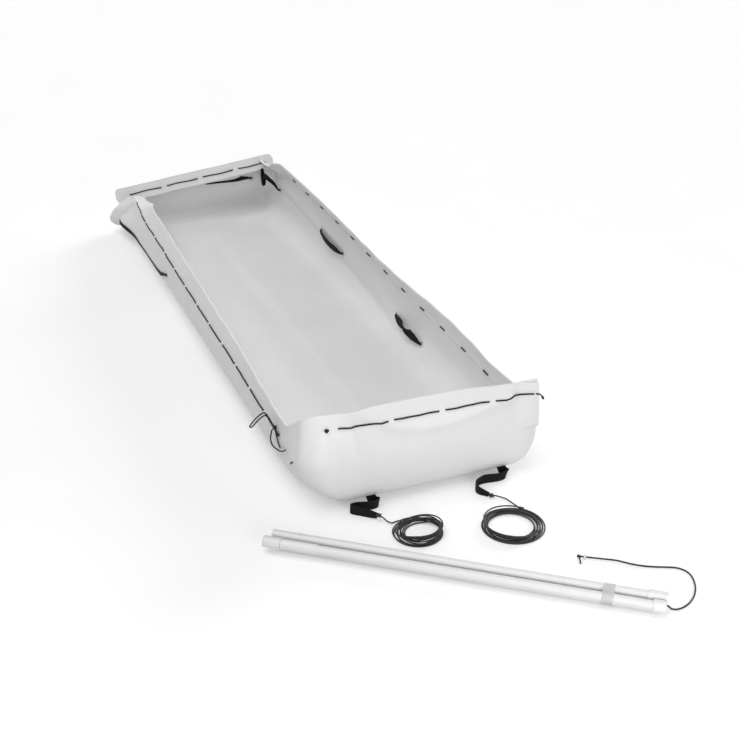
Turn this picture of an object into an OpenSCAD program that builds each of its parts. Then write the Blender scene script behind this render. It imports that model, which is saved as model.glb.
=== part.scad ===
// Pulk sled: one folded plastic sheet, laced rims, lash webbing, tow lines and a bundle of pole tubes.
// X is the width, Y runs from the nose (minus) to the rear wall (plus), Z is up from the flat underside.

/* [Sheet] */
// Length of the tub from the nose to the rear wall
sled_len = 1910; // [1700:10:2200]
// Width over the side walls at the front corners
front_w = 624; // [580:4:680]
// Width over the side walls at the rear corners
rear_w = 556; // [520:4:620]
// Width of the flat floor
floor_w = 424; // [380:4:440]
// Thickness of the sheet
sheet_t = 2; // [1.5:0.5:3]
// Height at which the side walls stand upright, front end
bilge_front = 100; // [80:5:115]
// Height at which the side walls stand upright, rear end
bilge_rear = 66; // [50:2:90]
// Radius of the upturned nose
nose_r = 137; // [110:1:160]
// Radius between the floor and the rear wall
rear_r = 56; // [40:2:80]
// Corner radius of the front wall, seen from above
front_corner_r = 60; // [50:2:80]
// Corner radius of the rear wall, seen from above
rear_corner_r = 50; // [44:2:70]
// How far the front wall leans back up to its lacing
front_tumble = 16; // [5:1:25]
// How far the rear wall leans in up to its lacing
rear_tumble = 14; // [5:1:25]

/* [Rims] */
// Height of the side lacing at the front
side_lace_front = 138; // [130:2:160]
// Height of the side lacing at the rear
side_lace_rear = 168; // [150:2:190]
// Width of the side rim above its lacing
side_rim = 52; // [40:2:60]
// Inward lean of the side rim at the front
rim_lean_front = 4; // [0:1:10]
// Inward lean of the side rim at the rear
rim_lean_rear = 30; // [15:1:40]
// Height of the front lacing
front_lace_z = 228; // [205:1:240]
// Width of the front rim above its lacing
front_rim = 42; // [36:1:56]
// Backward lean of the front rim
front_rim_lean = 10; // [0:1:15]
// Height of the rear lacing
rear_lace_z = 178; // [160:2:200]
// Width of the rear rim above its lacing
rear_rim = 29; // [24:1:40]
// Length of the square-cut end of the front panel
flap_end = 52; // [30:2:60]
// Height of the square-cut end of the front panel
flap_h = 120; // [90:5:130]
// Height of the rear rim band
band_h = 60; // [50:1:66]
// Length of the rear rim band
band_len = 556; // [500:4:600]

/* [Lacing] */
// Diameter of the lacing cord
lace_d = 3.2; // [2.5:0.1:4]
// Distance from stitch to stitch
lace_pitch = 125; // [110:5:130]
// Length of the short stitch
lace_gap = 18; // [12:1:24]
// Diameter of the punched lacing holes
lace_hole_d = 4.4; // [4.2:0.1:6]
// Number of short stitches along each side
side_gaps = 12; // [8:1:12]
// Sideways place of the middle of the front lacing
front_shift = 26; // [0:1:40]

/* [Webbing] */
// Width of the webbing
web_w = 25; // [20:1:30]
// Thickness of the webbing
web_t = 1.6; // [1.2:0.1:2.4]
// Width of the webbing where it is pinched through a grommet
web_pinch = 6.4; // [5:0.2:7]
// How far a lash loop stands off the wall
loop_bow = 17; // [14:1:24]
// Distance between the grommets of a lash loop
loop_len = 180; // [150:5:220]
// Hole of the grommets
grommet_hole_d = 10; // [9.5:0.5:12]
// Flange of the grommets
grommet_d = 20; // [18:0.5:24]
// Length of the slots for the tow straps
slot_len = 30; // [28:1:40]
// Width of the slots for the tow straps
slot_w = 4; // [3:0.5:6]
// Distance between the tow slots
slot_span = 350; // [300:5:380]

/* [Tow lines] */
// Diameter of the tow line
rope_d = 3.4; // [3:0.1:4]
// Turns in each coil, half of them in each of its two layers
coil_turns = 10; // [6:2:10]
// Outer radius of the left coil at the middle of the line
coil_left_r = 60; // [50:1:70]
// Outer radius of the right coil at the middle of the line
coil_right_r = 74; // [60:1:80]

/* [Poles] */
// Outer diameter of the pole tubes
tube_d = 21.3; // [20:0.1:22]
// Bore of the pole tubes
tube_bore_d = 15.8; // [15:0.1:17]
// Length of a pole tube
tube_len = 850; // [700:10:900]
// Outer diameter of the couplings and of the plug
coupler_d = 27; // [26:0.1:28]
// Length of the coupling
coupler_len = 42; // [36:1:60]
// Length of the sleeve on the plug's tube
sleeve_len = 82; // [60:1:100]
// Outer diameter of that sleeve
sleeve_d = 24; // [23.5:0.1:25]
// Length of the plug in front of the sleeve
plug_len = 41; // [30:1:50]
// Width of the clear band
band_w = 25; // [15:1:40]
// Diameter of the shock cord
shock_d = 4; // [3:0.5:5]
// Direction of the poles on the ground
pole_angle = -37; // [-45:1:-30]

/* [Hidden] */

// Facet counts of the curved sheet, the cords and the turned pieces
arc_steps = 6;
corner_steps = 6;
side_steps = 10;
end_steps = 6;
cord_sides = 6;
$fn = 48;

// Clearances: between layers, from a cord to its sheet, of a strap in its slot, between two tubes
layer_gap = 0.1;
cord_gap = 0.4;
slip = 0.5;
tube_gap = 0.3;

// Places worked out from the driving sizes
nose_y = -sled_len / 2;
rear_y = sled_len / 2;
floor_x = floor_w / 2;
floor_front_y = nose_y + nose_r;
floor_rear_y = rear_y - rear_r;
floor_corner_r = 12;
front_x = front_w / 2;
rear_x = rear_w / 2;
wall_front_y = nose_y + front_corner_r;
wall_rear_y = rear_y - rear_corner_r;
lace_r = lace_d / 2;
rope_r = rope_d / 2;
shock_r = shock_d / 2;
tube_r = tube_d / 2;
two_layers = 2 * sheet_t + layer_gap;

function mix(a, b, t) = a + (b - a) * t;
function ease(t) = t * t * (3 - 2 * t);
function unit(v) = v / norm(v);
function clamp01(t) = max(0, min(1, t));
function flat_list(ll) = [for (l = ll) for (v = l) v];

// A wall section is [outward reach of the bend, upright height, lacing height, tumble, rim, rim lean]
function side_t(y) = (y - wall_front_y) / (wall_rear_y - wall_front_y);
function side_x(y) = mix(front_x, rear_x, side_t(y));
function side_section(y) = let (t = side_t(y)) [side_x(y) - floor_x, mix(bilge_front, bilge_rear, t),
  mix(side_lace_front, side_lace_rear, t), 3 * t, side_rim, mix(rim_lean_front, rim_lean_rear, t)];
front_section = [nose_r, nose_r, front_lace_z, front_tumble, front_rim, front_rim_lean];
rear_section = [rear_r, rear_r, rear_lace_z, rear_tumble, rear_rim, 0];

// Outline of a section as [outward, height] points, the outer face first, the inner one with inset
function section_points(s, inset) = concat(
  [for (k = [0:arc_steps]) let (a = 90 * k / arc_steps)
    [(s[0] - inset) * sin(a), inset + (s[1] - inset) * (1 - cos(a))]],
  [[s[0] - inset - 0.35 * s[3], (s[1] + s[2]) / 2],
   [s[0] - s[3] - inset * cos(s[5] / 2), s[2] - inset * sin(s[5] / 2)],
   [s[0] - s[3] - s[4] * sin(s[5]) - inset * cos(s[5]),
    s[2] + s[4] * cos(s[5]) - inset * sin(s[5])]]);
rings = arc_steps + 4;

// Columns round the tub, seen from above, as [floor point, wall point, outward direction, section]
corner_hold = 0.2;
function corner_columns(fc, wc, wr, from, sec_a, sec_b, hold_a = 0, hold_b = 0, low = false) =
  [for (i = [1:corner_steps - 1]) let (a = from + 90 * i / corner_steps, d = [cos(a), sin(a)],
    t = ease(clamp01((i / corner_steps - hold_a) / (1 - hold_a - hold_b))), s = mix(sec_a, sec_b, t))
    [fc + floor_corner_r * d, wc + wr * d, d,
     low ? [s[0], s[1], fold_top - corner_rim, 0, corner_rim, 0] : s]];
// At the rear corners the sheet is folded low, and the rim band passes over it
corner_rim = 20;
fold_top = rear_lace_z + rear_rim - band_h - 4;
fx = floor_x - floor_corner_r;
floor_y0 = floor_front_y + floor_corner_r;
floor_y1 = floor_rear_y - floor_corner_r;
function side_column(sx, i) = let (t = i / side_steps, y = mix(wall_front_y, wall_rear_y, t))
  [[sx * floor_x, mix(floor_y0, floor_y1, t)], [sx * side_x(y), y], [sx, 0], side_section(y)];
columns = concat(
  [for (i = [0:side_steps]) side_column(1, i)],
  corner_columns([fx, floor_y1], [rear_x - rear_corner_r, wall_rear_y], rear_corner_r, 0,
    side_section(wall_rear_y), rear_section, 0, 0, true),
  [for (i = [0:end_steps]) let (t = 1 - 2 * i / end_steps)
    [[fx * t, floor_rear_y], [(rear_x - rear_corner_r) * t, rear_y], [0, 1], rear_section]],
  corner_columns([-fx, floor_y1], [rear_corner_r - rear_x, wall_rear_y], rear_corner_r, 90,
    rear_section, side_section(wall_rear_y), 0, 0, true),
  [for (i = [0:side_steps]) side_column(-1, side_steps - i)],
  corner_columns([-fx, floor_y0], [front_corner_r - front_x, wall_front_y], front_corner_r, 180,
    side_section(wall_front_y), front_section, 0, corner_hold),
  [for (i = [0:end_steps]) let (t = 2 * i / end_steps - 1)
    [[fx * t, floor_front_y], [(front_x - front_corner_r) * t, nose_y], [0, -1], front_section]],
  corner_columns([fx, floor_y0], [front_x - front_corner_r, wall_front_y], front_corner_r, 270,
    front_section, side_section(wall_front_y), corner_hold, 0));

// One column of points: the bend runs from the floor point to the wall point, the rest goes up
function column_points(c, inset) = let (reach = norm(c[1] - c[0]), s = c[3],
    bend = [for (k = [0:arc_steps]) let (a = 90 * k / arc_steps,
      q = c[0] + (c[1] - inset * c[2] - c[0]) * sin(a)) [q.x, q.y, inset + (s[1] - inset) * (1 - cos(a))]],
    up = section_points(s, inset))
  concat(bend, [for (k = [arc_steps + 1:rings - 1]) let (q = c[1] + (up[k][0] - s[0]) * c[2])
    [q.x, q.y, up[k][1]]]);

module tub_shell() {
  n = len(columns);
  m = rings;
  outer = flat_list([for (c = columns) column_points(c, 0)]);
  inner = flat_list([for (c = columns) column_points(c, sheet_t)]);
  base = n * m;
  walls = flat_list([for (j = [0:n - 1]) for (k = [0:m - 2])
    let (a = j * m + k, b = ((j + 1) % n) * m + k, c = base + a, d = base + b)
      [[a, a + 1, b + 1], [a, b + 1, b], [c, d + 1, c + 1], [c, d, d + 1]]]);
  rim = flat_list([for (j = [0:n - 1]) let (a = j * m + m - 1, b = ((j + 1) % n) * m + m - 1)
    [[a, base + a, base + b], [a, base + b, b]]]);
  mid = 2 * base;
  floors = flat_list([for (j = [0:n - 1]) let (a = j * m, b = ((j + 1) % n) * m)
    [[mid, a, b], [mid + 1, base + b, base + a]]]);
  polyhedron(concat(outer, inner, [[0, 0, 0], [0, 0, sheet_t]]), concat(walls, rim, floors), convexity = 10);
}

// Where a section's outer face lies at height z, as [outward, height, slope of the face]
function face_at(s, z) = let (p = section_points(s, 0),
    k = max([for (i = [0:rings - 2]) p[i][1] <= z ? i : 0]),
    a = p[k], b = p[k + 1], f = (z - a[1]) / (b[1] - a[1]))
  [mix(a[0], b[0], f), z, atan2(b[1] - a[1], b[0] - a[0])];
// At the lacing the face bends, so its slope there is the mean of the two sides
function lace_slope(s) = 90 + s[5] / 2;
function side_point(sx, y, z, off) = let (f = face_at(side_section(y), z))
  [sx * (floor_x + f[0] + off * sin(f[2])), y, z - off * cos(f[2])];
function side_lace_point(sx, y, off) = let (s = side_section(y), a = lace_slope(s))
  [sx * (floor_x + s[0] - s[3] + off * sin(a)), y, s[2] - off * cos(a)];
function end_point(sy, s, x, z, off) = let (f = face_at(s, z), edge = sy > 0 ? floor_rear_y : floor_front_y)
  [x, edge + sy * (f[0] + off * sin(f[2])), z - off * cos(f[2])];
function end_lace_point(sy, s, x, off) = let (a = lace_slope(s), edge = sy > 0 ? floor_rear_y : floor_front_y)
  [x, edge + sy * (s[0] - s[3] + off * sin(a)), s[2] - off * cos(a)];

// Rings of equal length joined into one closed solid
module loft(ring_list) {
  n = len(ring_list[0]);
  m = len(ring_list);
  sides = flat_list([for (i = [0:m - 2]) for (j = [0:n - 1])
    let (a = i * n + j, b = i * n + (j + 1) % n) [[a, a + n, b + n], [a, b + n, b]]]);
  caps = [[for (j = [0:n - 1]) j], [for (j = [n - 1:-1:0]) (m - 1) * n + j]];
  polyhedron(flat_list(ring_list), concat(sides, caps), convexity = 10);
}

// Two grids of points, the outer and the inner face of a sheet, joined with the same diagonals
module sheet_patch(outer, inner) {
  m = len(outer);
  n = len(outer[0]);
  base = m * n;
  skin = flat_list([for (i = [0:m - 2]) for (k = [0:n - 2])
    let (a = i * n + k, b = a + n, c = base + a, d = base + b)
      [[a, a + 1, b + 1], [a, b + 1, b], [c, d + 1, c + 1], [c, d, d + 1]]]);
  sides = flat_list([for (i = [0:m - 2]) let (a = i * n, b = a + n, e = a + n - 1, f = b + n - 1)
    [[a, b, base + b], [a, base + b, base + a], [e, base + f, f], [e, base + e, base + f]]]);
  ends = flat_list([for (k = [0:n - 2]) let (a = k, b = (m - 1) * n + k)
    [[a, base + a, base + a + 1], [a, base + a + 1, a + 1],
     [b, base + b + 1, base + b], [b, b + 1, base + b + 1]]]);
  polyhedron(flat_list(concat(outer, inner)), concat(skin, sides, ends), convexity = 10);
}

function tangent(p, i) = unit(p[min(i + 1, len(p) - 1)] - p[max(i - 1, 0)]);
function tube_ring(c, t, up, r, sides, turn) = let (u = unit(cross(t, up)), v = cross(t, u))
  [for (j = [0:sides - 1]) let (a = turn + 360 * j / sides) c + r * (cos(a) * u + sin(a) * v)];
// A cord along points; up is never parallel to the cord
module cord(p, r, sides, up = [0, 0, 1]) {
  loft([for (i = [0:len(p) - 1]) tube_ring(p[i], tangent(p, i), up, r, sides, 180 / sides)]);
}

// A strap along points, each with the direction and the size of its width
module strap(p, across, w, t = web_t) {
  loft([for (i = [0:len(p) - 1]) let (d = tangent(p, i), a0 = across[i],
      a = unit(a0 - d * (a0 * d)), b = cross(d, a), h = w[i] / 2, g = t / 2)
    [p[i] + h * a + g * b, p[i] - h * a + g * b, p[i] - h * a - g * b, p[i] + h * a - g * b]]);
}

// Puts children with their Z axis along d at point p
module aim(p, d) {
  translate(p) rotate([0, acos(d.z / norm(d)), atan2(d.y, d.x)]) children();
}

// Lacing: holes in pairs, each short stitch between the two holes of a pair
side_first_gap = rear_y - 237.5 - lace_pitch * (side_gaps - 1);
side_gap_y = [for (i = [0:side_gaps - 1]) side_first_gap + lace_pitch * i];
side_start_y = side_gap_y[0] - 108;
side_end_y = side_gap_y[side_gaps - 1] + 112;
side_holes = flat_list([for (y = side_gap_y) [y - lace_gap / 2, y + lace_gap / 2]]);
front_gap_x = [for (i = [-1:1]) front_shift + 8 + 1.05 * lace_pitch * i];
front_start_x = front_gap_x[0] - 130;
front_holes = flat_list([for (x = front_gap_x) [x - lace_gap / 2, x + lace_gap / 2]]);
rear_gap_x = [for (i = [-1:1]) lace_pitch * i];
rear_holes = flat_list([for (x = rear_gap_x) [x - lace_gap / 2, x + lace_gap / 2]]);
rear_lace_end = rear_gap_x[2] + 102;
knot_d = 2.9 * lace_d;

// Webbing line on the right wall and the grommets on it, as [y, height]
function web_z(y) = mix(52, 98, (y + 180) / 660);
function left_web_z(y) = mix(94, 64, clamp01((y - 320) / 560));
handle_rear_y = [300, 300 + loop_len];
handle_front_y = [-300, -300 + loop_len];
right_grommets = concat(handle_rear_y, handle_front_y);
left_grommet_y = 318;
rear_grommet = [194, 131];
corner_grommet_y = wall_rear_y - 37;
corner_grommet_z = 104;
web_right_stop = corner_grommet_y - 28;
web_left_stop = wall_rear_y - 25;
web_lead = 80;
web_off = 1.7;
pinch_run = 30;
function front_slot_x(sx) = front_shift + 13 + sx * slot_span / 2;
slot_z = 24;
// What lies on the ground ahead of the nose goes with it
ahead = [0, nose_y + 955, 0];
function lay(route) = [for (q = route) q + ahead];
function slot_normal() = let (f = face_at(front_section, slot_z)) [0, -sin(f[2]), -cos(f[2])];

function wall_normal(sx, y, z) = let (a = face_at(side_section(y), z)[2]) [sx * sin(a), 0, -cos(a)];
function lace_normal(sx, y) = let (a = lace_slope(side_section(y))) [sx * sin(a), 0, -cos(a)];
function end_lace_normal(sy, s) = let (a = lace_slope(s)) [0, sy * sin(a), -cos(a)];

module lace_hole(p, d) {
  aim(p, d) cylinder(d = lace_hole_d, h = 6 * sheet_t, center = true, $fn = 16);
}
module side_lace_holes(sx, ys) {
  for (y = ys) lace_hole(side_lace_point(sx, y, -sheet_t), lace_normal(sx, y));
}
module end_lace_holes(sy, s, xs) {
  for (x = xs) lace_hole(end_lace_point(sy, s, x, -sheet_t), end_lace_normal(sy, s));
}
module wall_hole(sx, y, z, d) {
  aim(side_point(sx, y, z, -sheet_t / 2), wall_normal(sx, y, z))
    cylinder(d = d, h = 8 * sheet_t, center = true);
}
module tow_slot(sx) {
  f = face_at(front_section, slot_z);
  p = end_point(-1, front_section, front_slot_x(sx), slot_z, 0);
  translate(p) rotate([-f[2], 0, 0]) cube([slot_len, slot_w, 8 * sheet_t], center = true);
}

grommet_hull_d = grommet_hole_d + 2 * 1.1 + 2 * layer_gap;
grommet_seat = 0.7;
// The sheet is pressed flat under a flange that lies across one of its bends
module grommet_seat_cut(sx, y, z) {
  aim(side_point(sx, y, z, -sheet_t / 2), wall_normal(sx, y, z)) for (k = [0, 1]) mirror([0, 0, k])
    translate([0, 0, sheet_t / 2 + grommet_seat - 0.1]) cylinder(d = grommet_d + 0.8, h = 3);
}
function rear_normal(z) = let (a = face_at(rear_section, z)[2]) [0, sin(a), -cos(a)];
module hull_sheet() {
  color("whitesmoke") difference() {
    tub_shell();
    for (sx = [-1, 1]) side_lace_holes(sx, side_holes);
    end_lace_holes(-1, front_section, front_holes);
    end_lace_holes(1, rear_section, concat([-rear_lace_end], rear_holes, [rear_lace_end]));
    for (sx = [-1, 1]) translate([sx * (rear_x - rear_corner_r + 0.5 + rear_corner_r), wall_rear_y + 0.1 + rear_corner_r,
      fold_top + 13 + rear_corner_r]) cube(2 * rear_corner_r, center = true);
    for (y = handle_front_y) grommet_seat_cut(1, y, web_z(y));
    for (q = corner_stitch_at) aim(side_point(-1, q.x, q.y, 0), wall_normal(-1, q.x, q.y))
      cylinder(d = lace_hole_d, h = 8 * sheet_t, center = true, $fn = 16);
    for (y = right_grommets) wall_hole(1, y, web_z(y), grommet_hull_d);
    wall_hole(1, corner_grommet_y, corner_grommet_z, grommet_hull_d);
    wall_hole(-1, left_grommet_y, left_web_z(left_grommet_y), grommet_hull_d);
    aim(end_point(1, rear_section, rear_grommet[0], rear_grommet[1], 0), rear_normal(rear_grommet[1]))
      cylinder(d = grommet_hull_d, h = 8 * sheet_t, center = true);
    for (sx = [-1, 1]) tow_slot(sx);
  }
}

// The right end of the front panel stands free of the rounded corner and is cut square
flap_start = front_x - front_corner_r + 18.5;
module front_flap() {
  z0 = front_lace_z + front_rim * cos(front_rim_lean) - flap_h;
  x1 = front_x - front_corner_r + flap_end;
  zs = [z0, (nose_r + front_lace_z) / 2, front_lace_z, front_lace_z + front_rim * cos(front_rim_lean) - 1];
  function at(z, off) = let (p = end_point(-1, front_section, 0, z, off)) [p.y, p.z];
  color("whitesmoke") translate([flap_start, 0, 0]) rotate([90, 0, 90]) linear_extrude(x1 - flap_start)
    polygon(concat([for (z = zs) at(z, -sheet_t)], [for (i = [3:-1:0]) at(zs[i], 0)]));
}

// Folded-in layer of a rim: it starts just under the lacing and ends just under the free edge
hem_under = 9;
hem_short = 1;
hem_turn_in = 8;
hem_gap = 0.25;
function hem_ring(s, place) = let (a = layer_gap, b = layer_gap + sheet_t,
    zs = [s[2] - hem_under, s[2], s[2] + (s[4] - hem_short) * cos(s[5])])
  concat([for (z = zs) place(s, z, -sheet_t - a)], [for (i = [2:-1:0]) place(s, zs[i], -sheet_t - b)]);
module side_hem(sx) {
  y1 = band_face_y - 4 - two_layers - 0.3;
  ring = function (y, turn_in = 0) let (s = side_section(min(y, wall_rear_y)), to = [-sx * turn_in, 0, 0],
      l = side_lace_point(sx, y, -sheet_t - hem_gap) + to, m = side_lace_point(sx, y, -2 * sheet_t - hem_gap) + to,
      low = hem_under, top = s[4] - hem_short, up = [-sx * sin(s[5]), 0, cos(s[5])], down = [0, 0, -1])
    [l + low * down, m + low * down, m, m + top * up, l + top * up, l];
  rings_at = concat([for (i = [0:side_steps]) ring(mix(wall_front_y, wall_rear_y, i / side_steps))],
    [ring(y1, hem_turn_in)]);
  n = len(rings_at);
  rs = [for (i = [0:n - 1]) rings_at[sx > 0 ? i : n - 1 - i]];
  sheet_patch([for (r = rs) [r[0], r[5], r[4]]], [for (r = rs) [r[1], r[2], r[3]]]);
}
module side_hem_node(sx) {
  color("white") difference() {
    side_hem(sx);
    side_lace_holes(sx, side_holes);
  }
}
module side_hem_left() { side_hem_node(-1); }
module side_hem_right() { side_hem_node(1); }

// The front hem is straight in X: one outline pulled sideways
module front_hem() {
  x0 = -(front_x - front_corner_r) - 0;
  w = 2 * (front_x - front_corner_r);
  l = end_lace_point(-1, front_section, 0, -sheet_t - layer_gap);
  m = end_lace_point(-1, front_section, 0, -two_layers);
  up = [0, sin(front_rim_lean), cos(front_rim_lean)];
  top = front_rim - hem_short;
  pts = [[l.y - 1, l.z - hem_under], [m.y - 1, m.z - hem_under], [m.y, m.z],
    [m.y + top * up.y, m.z + top * up.z], [l.y + top * up.y, l.z + top * up.z], [l.y, l.z]];
  color("white") difference() {
    translate([x0, 0, 0]) rotate([90, 0, 90]) linear_extrude(w) polygon(pts);
    end_lace_holes(-1, front_section, front_holes);
  }
}

// Rear rim band: an inner and an outer layer with round ends, the rear wall between them
module band_plate(y, t, h, drop) {
  r = 12;
  z1 = rear_lace_z + rear_rim + 1 - drop;
  translate([0, y + t, z1 - h]) rotate([90, 0, 0]) linear_extrude(t) hull() {
    for (sx = [-1, 1]) for (z = [r, h - r]) translate([sx * (band_len / 2 - r), z]) circle(r, $fn = 24);
  }
}
band_face_y = rear_y - rear_tumble;
module rear_band_inner() {
  color("white") difference() {
    band_plate(band_face_y - 4 - two_layers, sheet_t, band_h, 0);
    band_lace_holes();
  }
}
module rear_band_outer() {
  color("white") difference() {
    band_plate(band_face_y + 4, sheet_t, band_h - 8, -4);
    band_lace_holes();
  }
}
module band_lace_holes() {
  for (x = concat([-rear_lace_end], rear_holes, [rear_lace_end]))
    translate([x, band_face_y, rear_lace_z]) rotate([90, 0, 0])
      cylinder(d = lace_hole_d, h = 40, center = true, $fn = 16);
}

// Surplus sheet folded into a lobe round each rear corner
module corner_fold(sx) {
  cx = rear_x - rear_corner_r;
  r0 = rear_corner_r + 0.6;
  steps = 7;
  spread = 34;
  zs = [62, 80, 100, 122, 140];
  bulge = [3, 15, 23, 17, 4];
  ring = function (i) concat(
    [for (j = [0:steps]) let (a = 45 - spread + 2 * spread * j / steps)
      [cx + r0 * cos(a), wall_rear_y + r0 * sin(a), zs[i]]],
    [for (j = [steps:-1:0]) let (u = j / steps, a = 45 - spread + 2 * spread * u,
      r = r0 + 2 + bulge[i] * pow(sin(180 * u), 1.4)) [cx + r * cos(a), wall_rear_y + r * sin(a), zs[i]]]);
  color("white") mirror([sx < 0 ? 1 : 0, 0, 0])
    loft([for (i = [0:4]) let (r = ring(i)) [for (j = [len(r) - 1:-1:0]) r[j]]]);
}
module corner_fold_left() { corner_fold(-1); }
module corner_fold_right() { corner_fold(1); }

// A running stitch: place(u, side) gives a point on the face; the cord dips through each hole
lace_out = lace_r + cord_gap;
lace_in = -(two_layers + lace_r + cord_gap);
function stitches(holes, place, a, b) = flat_list([for (i = [0:len(holes) - 1])
  i % 2 == 0 ? [place(holes[i], a), place(holes[i], b)] : [place(holes[i], b), place(holes[i], a)]]);
module side_lacing(sx) {
  place = function (y, off) side_lace_point(sx, y, off);
  color("black") cord(concat([place(side_start_y, lace_out)], stitches(side_holes, place, lace_out, lace_in),
    [place(side_end_y, lace_out)]), lace_r, cord_sides);
}
module lacing_left() { side_lacing(-1); }
module lacing_right() { side_lacing(1); }
module lacing_front() {
  place = function (x, off) end_lace_point(-1, front_section, x, off);
  tail_x = front_x - front_corner_r + flap_end + 3;
  color("black") cord(concat([place(front_start_x, lace_out + 0.6)],
    stitches(front_holes, place, lace_out, lace_in), [place(tail_x - 14, lace_out + 0.4),
    place(tail_x, lace_out + 0.4), place(tail_x + 5, lace_out + 1) - [0, 0, 7]]), lace_r, cord_sides);
}
rear_in_y = band_face_y - 4 - two_layers - lace_r - cord_gap;
rear_out_y = band_face_y + 4 + sheet_t + lace_r + cord_gap;
module lacing_rear() {
  place = function (x, side) [x, side > 0 ? rear_out_y : rear_in_y, rear_lace_z];
  color("black") cord(concat([place(-rear_lace_end, 1), place(-rear_lace_end, -1)],
    stitches(rear_holes, place, -1, 1), [place(rear_lace_end, -1), place(rear_lace_end, 1)]),
    lace_r, cord_sides);
}

// Bow at the left front corner, as [along the wall, off its face, up] from its knot on the side lacing
bow_knot_r = 1.5 * lace_d;
bow_knot = side_lace_point(-1, side_start_y - bow_knot_r, bow_knot_r + 0.3);
module bow_strand(route) {
  cord([for (q = route) bow_knot + [-q.y, q.x, q.z]], lace_r, cord_sides, [0.8, 0.1, 0.6]);
}
module lacing_bow() {
  color("black") {
    translate(bow_knot) sphere(bow_knot_r);
    bow_strand([[1.6, 2.6, 1.8], [6, 10, 5], [16, 22, 3], [24, 34, -3], [30, 42, -9], [32, 44, -14], [28, 40, -17],
      [20, 29, -14], [10, 16, -7], [2.2, 3, -1.6]]);
    bow_strand([[0.8, 0, -2.4], [8, 5, -12], [17, 5, -30], [20, 5, -44], [12, 4.5, -54], [-2, 4, -54],
      [-18, 3.5, -50], [-38, 3, -44], [-60, 2, -33], [-74, 1.5, -22]]);
    bow_strand([[-2.4, 0, -2], [-5, 0, -12], [-10, -1, -24], [-22, -1, -35], [-30, -1.4, -41]]);
  }
}
// Short stitch at the front end of the left wall
corner_stitch_at = [[-852, 106], [-868, 121]];
module corner_stitch() {
  a = corner_stitch_at[0];
  b = corner_stitch_at[1];
  function at(q, off) = side_point(-1, q.x, q.y, off);
  color("black") cord([at(a, -sheet_t - 3), at(a, lace_out), at(b, lace_out), at(b, -sheet_t - 3)],
    lace_r, cord_sides, [0, 1, 0.6]);
}

// A stopper knot: three rounds of cord on a short core, turned about its own axis
module knot(d) {
  r = d / 2;
  n = 3;
  rotate_extrude($fn = 24) polygon(concat([[0, -n * r]],
    flat_list([for (i = [0:n - 1]) [for (k = [0:4]) let (a = -80 + 40 * k)
      [r * 1.35 + r * cos(a), (2 * i - n + 1) * r + r * sin(a)]]]), [[0, n * r]]));
}
lace_knot_d = 0.9 * lace_d;
module front_knot() {
  p = end_lace_point(-1, front_section, front_start_x, 2.35 * lace_knot_d / 2 + 0.3);
  color("black") translate(p - [1.5 * lace_knot_d + 0.3, 0, 0]) rotate([0, 90, 0]) knot(lace_knot_d);
}
module right_knot() {
  p = side_lace_point(1, side_start_y - 1.5 * lace_knot_d - 0.3, 2.35 * lace_knot_d / 2 + 0.3);
  color("black") translate(p) rotate([90, 0, 0]) knot(lace_knot_d);
}

// Lash loop: the webbing leaves one grommet, bows off the wall and dives into the next one
function pinch(u, run) = ease(clamp01(min(u, 1 - u) / run));
function wall_across(sx, y, z) = let (a = face_at(side_section(y), z)[2]) [sx * cos(a), 0, sin(a)];
// The first points lie in the hole and turn out of it, as [along the wall, off its outer face]
hole_turn = [[0, -1], [0, -4.4], [0.8, -6.8], [3, -8.4]];
module lash_loop(y0, y1) {
  n = 10;
  u = [for (i = [0:n]) mix(0.05, 0.95, i / n)];
  first = [for (q = hole_turn) [y0 + q.x, q.y]];
  last = [for (i = [len(hole_turn) - 1:-1:0]) [y1 - hole_turn[i].x, hole_turn[i].y]];
  bow = [for (v = u) [mix(y0, y1, v), -(sheet_t + 7 + (loop_bow - 7) * sin(180 * v))]];
  q = concat(first, bow, last);
  k = len(hole_turn);
  color("black") strap([for (a = q) side_point(1, a.x, web_z(a.x), a.y)],
    [for (a = q) wall_across(1, a.x, web_z(a.x))],
    concat([for (a = first) web_pinch], [for (v = u) mix(web_pinch, web_w, pinch(v, 0.24))],
      [for (a = last) web_pinch]));
}
module handle_right_rear() { lash_loop(handle_rear_y[0], handle_rear_y[1]); }
module handle_right_front() { lash_loop(handle_front_y[0], handle_front_y[1]); }

// Webbing along the outside of a wall between two stations; a dive is an end that goes into a hole
out_turn = [[0, 0.7], [0, 2.6], [1, 3.8], [4, 4.1], [12, 3.4]];
module outer_web(sx, y0, y1, dive_a, dive_b) {
  height = function (y) sx > 0 ? web_z(y) : left_web_z(y);
  n = 18;
  lie = layer_gap + web_t / 2;
  a0 = dive_a ? y0 + 24 : y0;
  b0 = dive_b ? y1 - 24 : y1;
  first = dive_a ? [for (q = out_turn) [y0 + q.x, q.y, web_pinch]] : [];
  last = dive_b ? [for (i = [len(out_turn) - 1:-1:0]) [y1 - out_turn[i].x, out_turn[i].y, web_pinch]] : [];
  run = [for (i = [0:n]) let (y = mix(a0, b0, i / n),
    t = ease(clamp01(min(dive_a ? y - y0 : 99, dive_b ? y1 - y : 99) / 60)))
    [y, mix(3, lie + web_off, t), mix(web_pinch, web_w, t)]];
  q = concat(first, run, last);
  color("black") strap([for (a = q) side_point(sx, a.x, height(a.x), a.y)],
    [for (a = q) wall_across(sx, a.x, height(a.x))], [for (a = q) a.z]);
}
module web_right_rear() { outer_web(1, handle_rear_y[1], web_right_stop, true, false); }
module web_right_mid() { outer_web(1, handle_front_y[1], handle_rear_y[0], true, true); }
module web_right_end() { outer_web(1, handle_front_y[0] - web_lead, handle_front_y[0], false, true); }
module web_left() { outer_web(-1, left_grommet_y, web_left_stop, true, false); }
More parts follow.
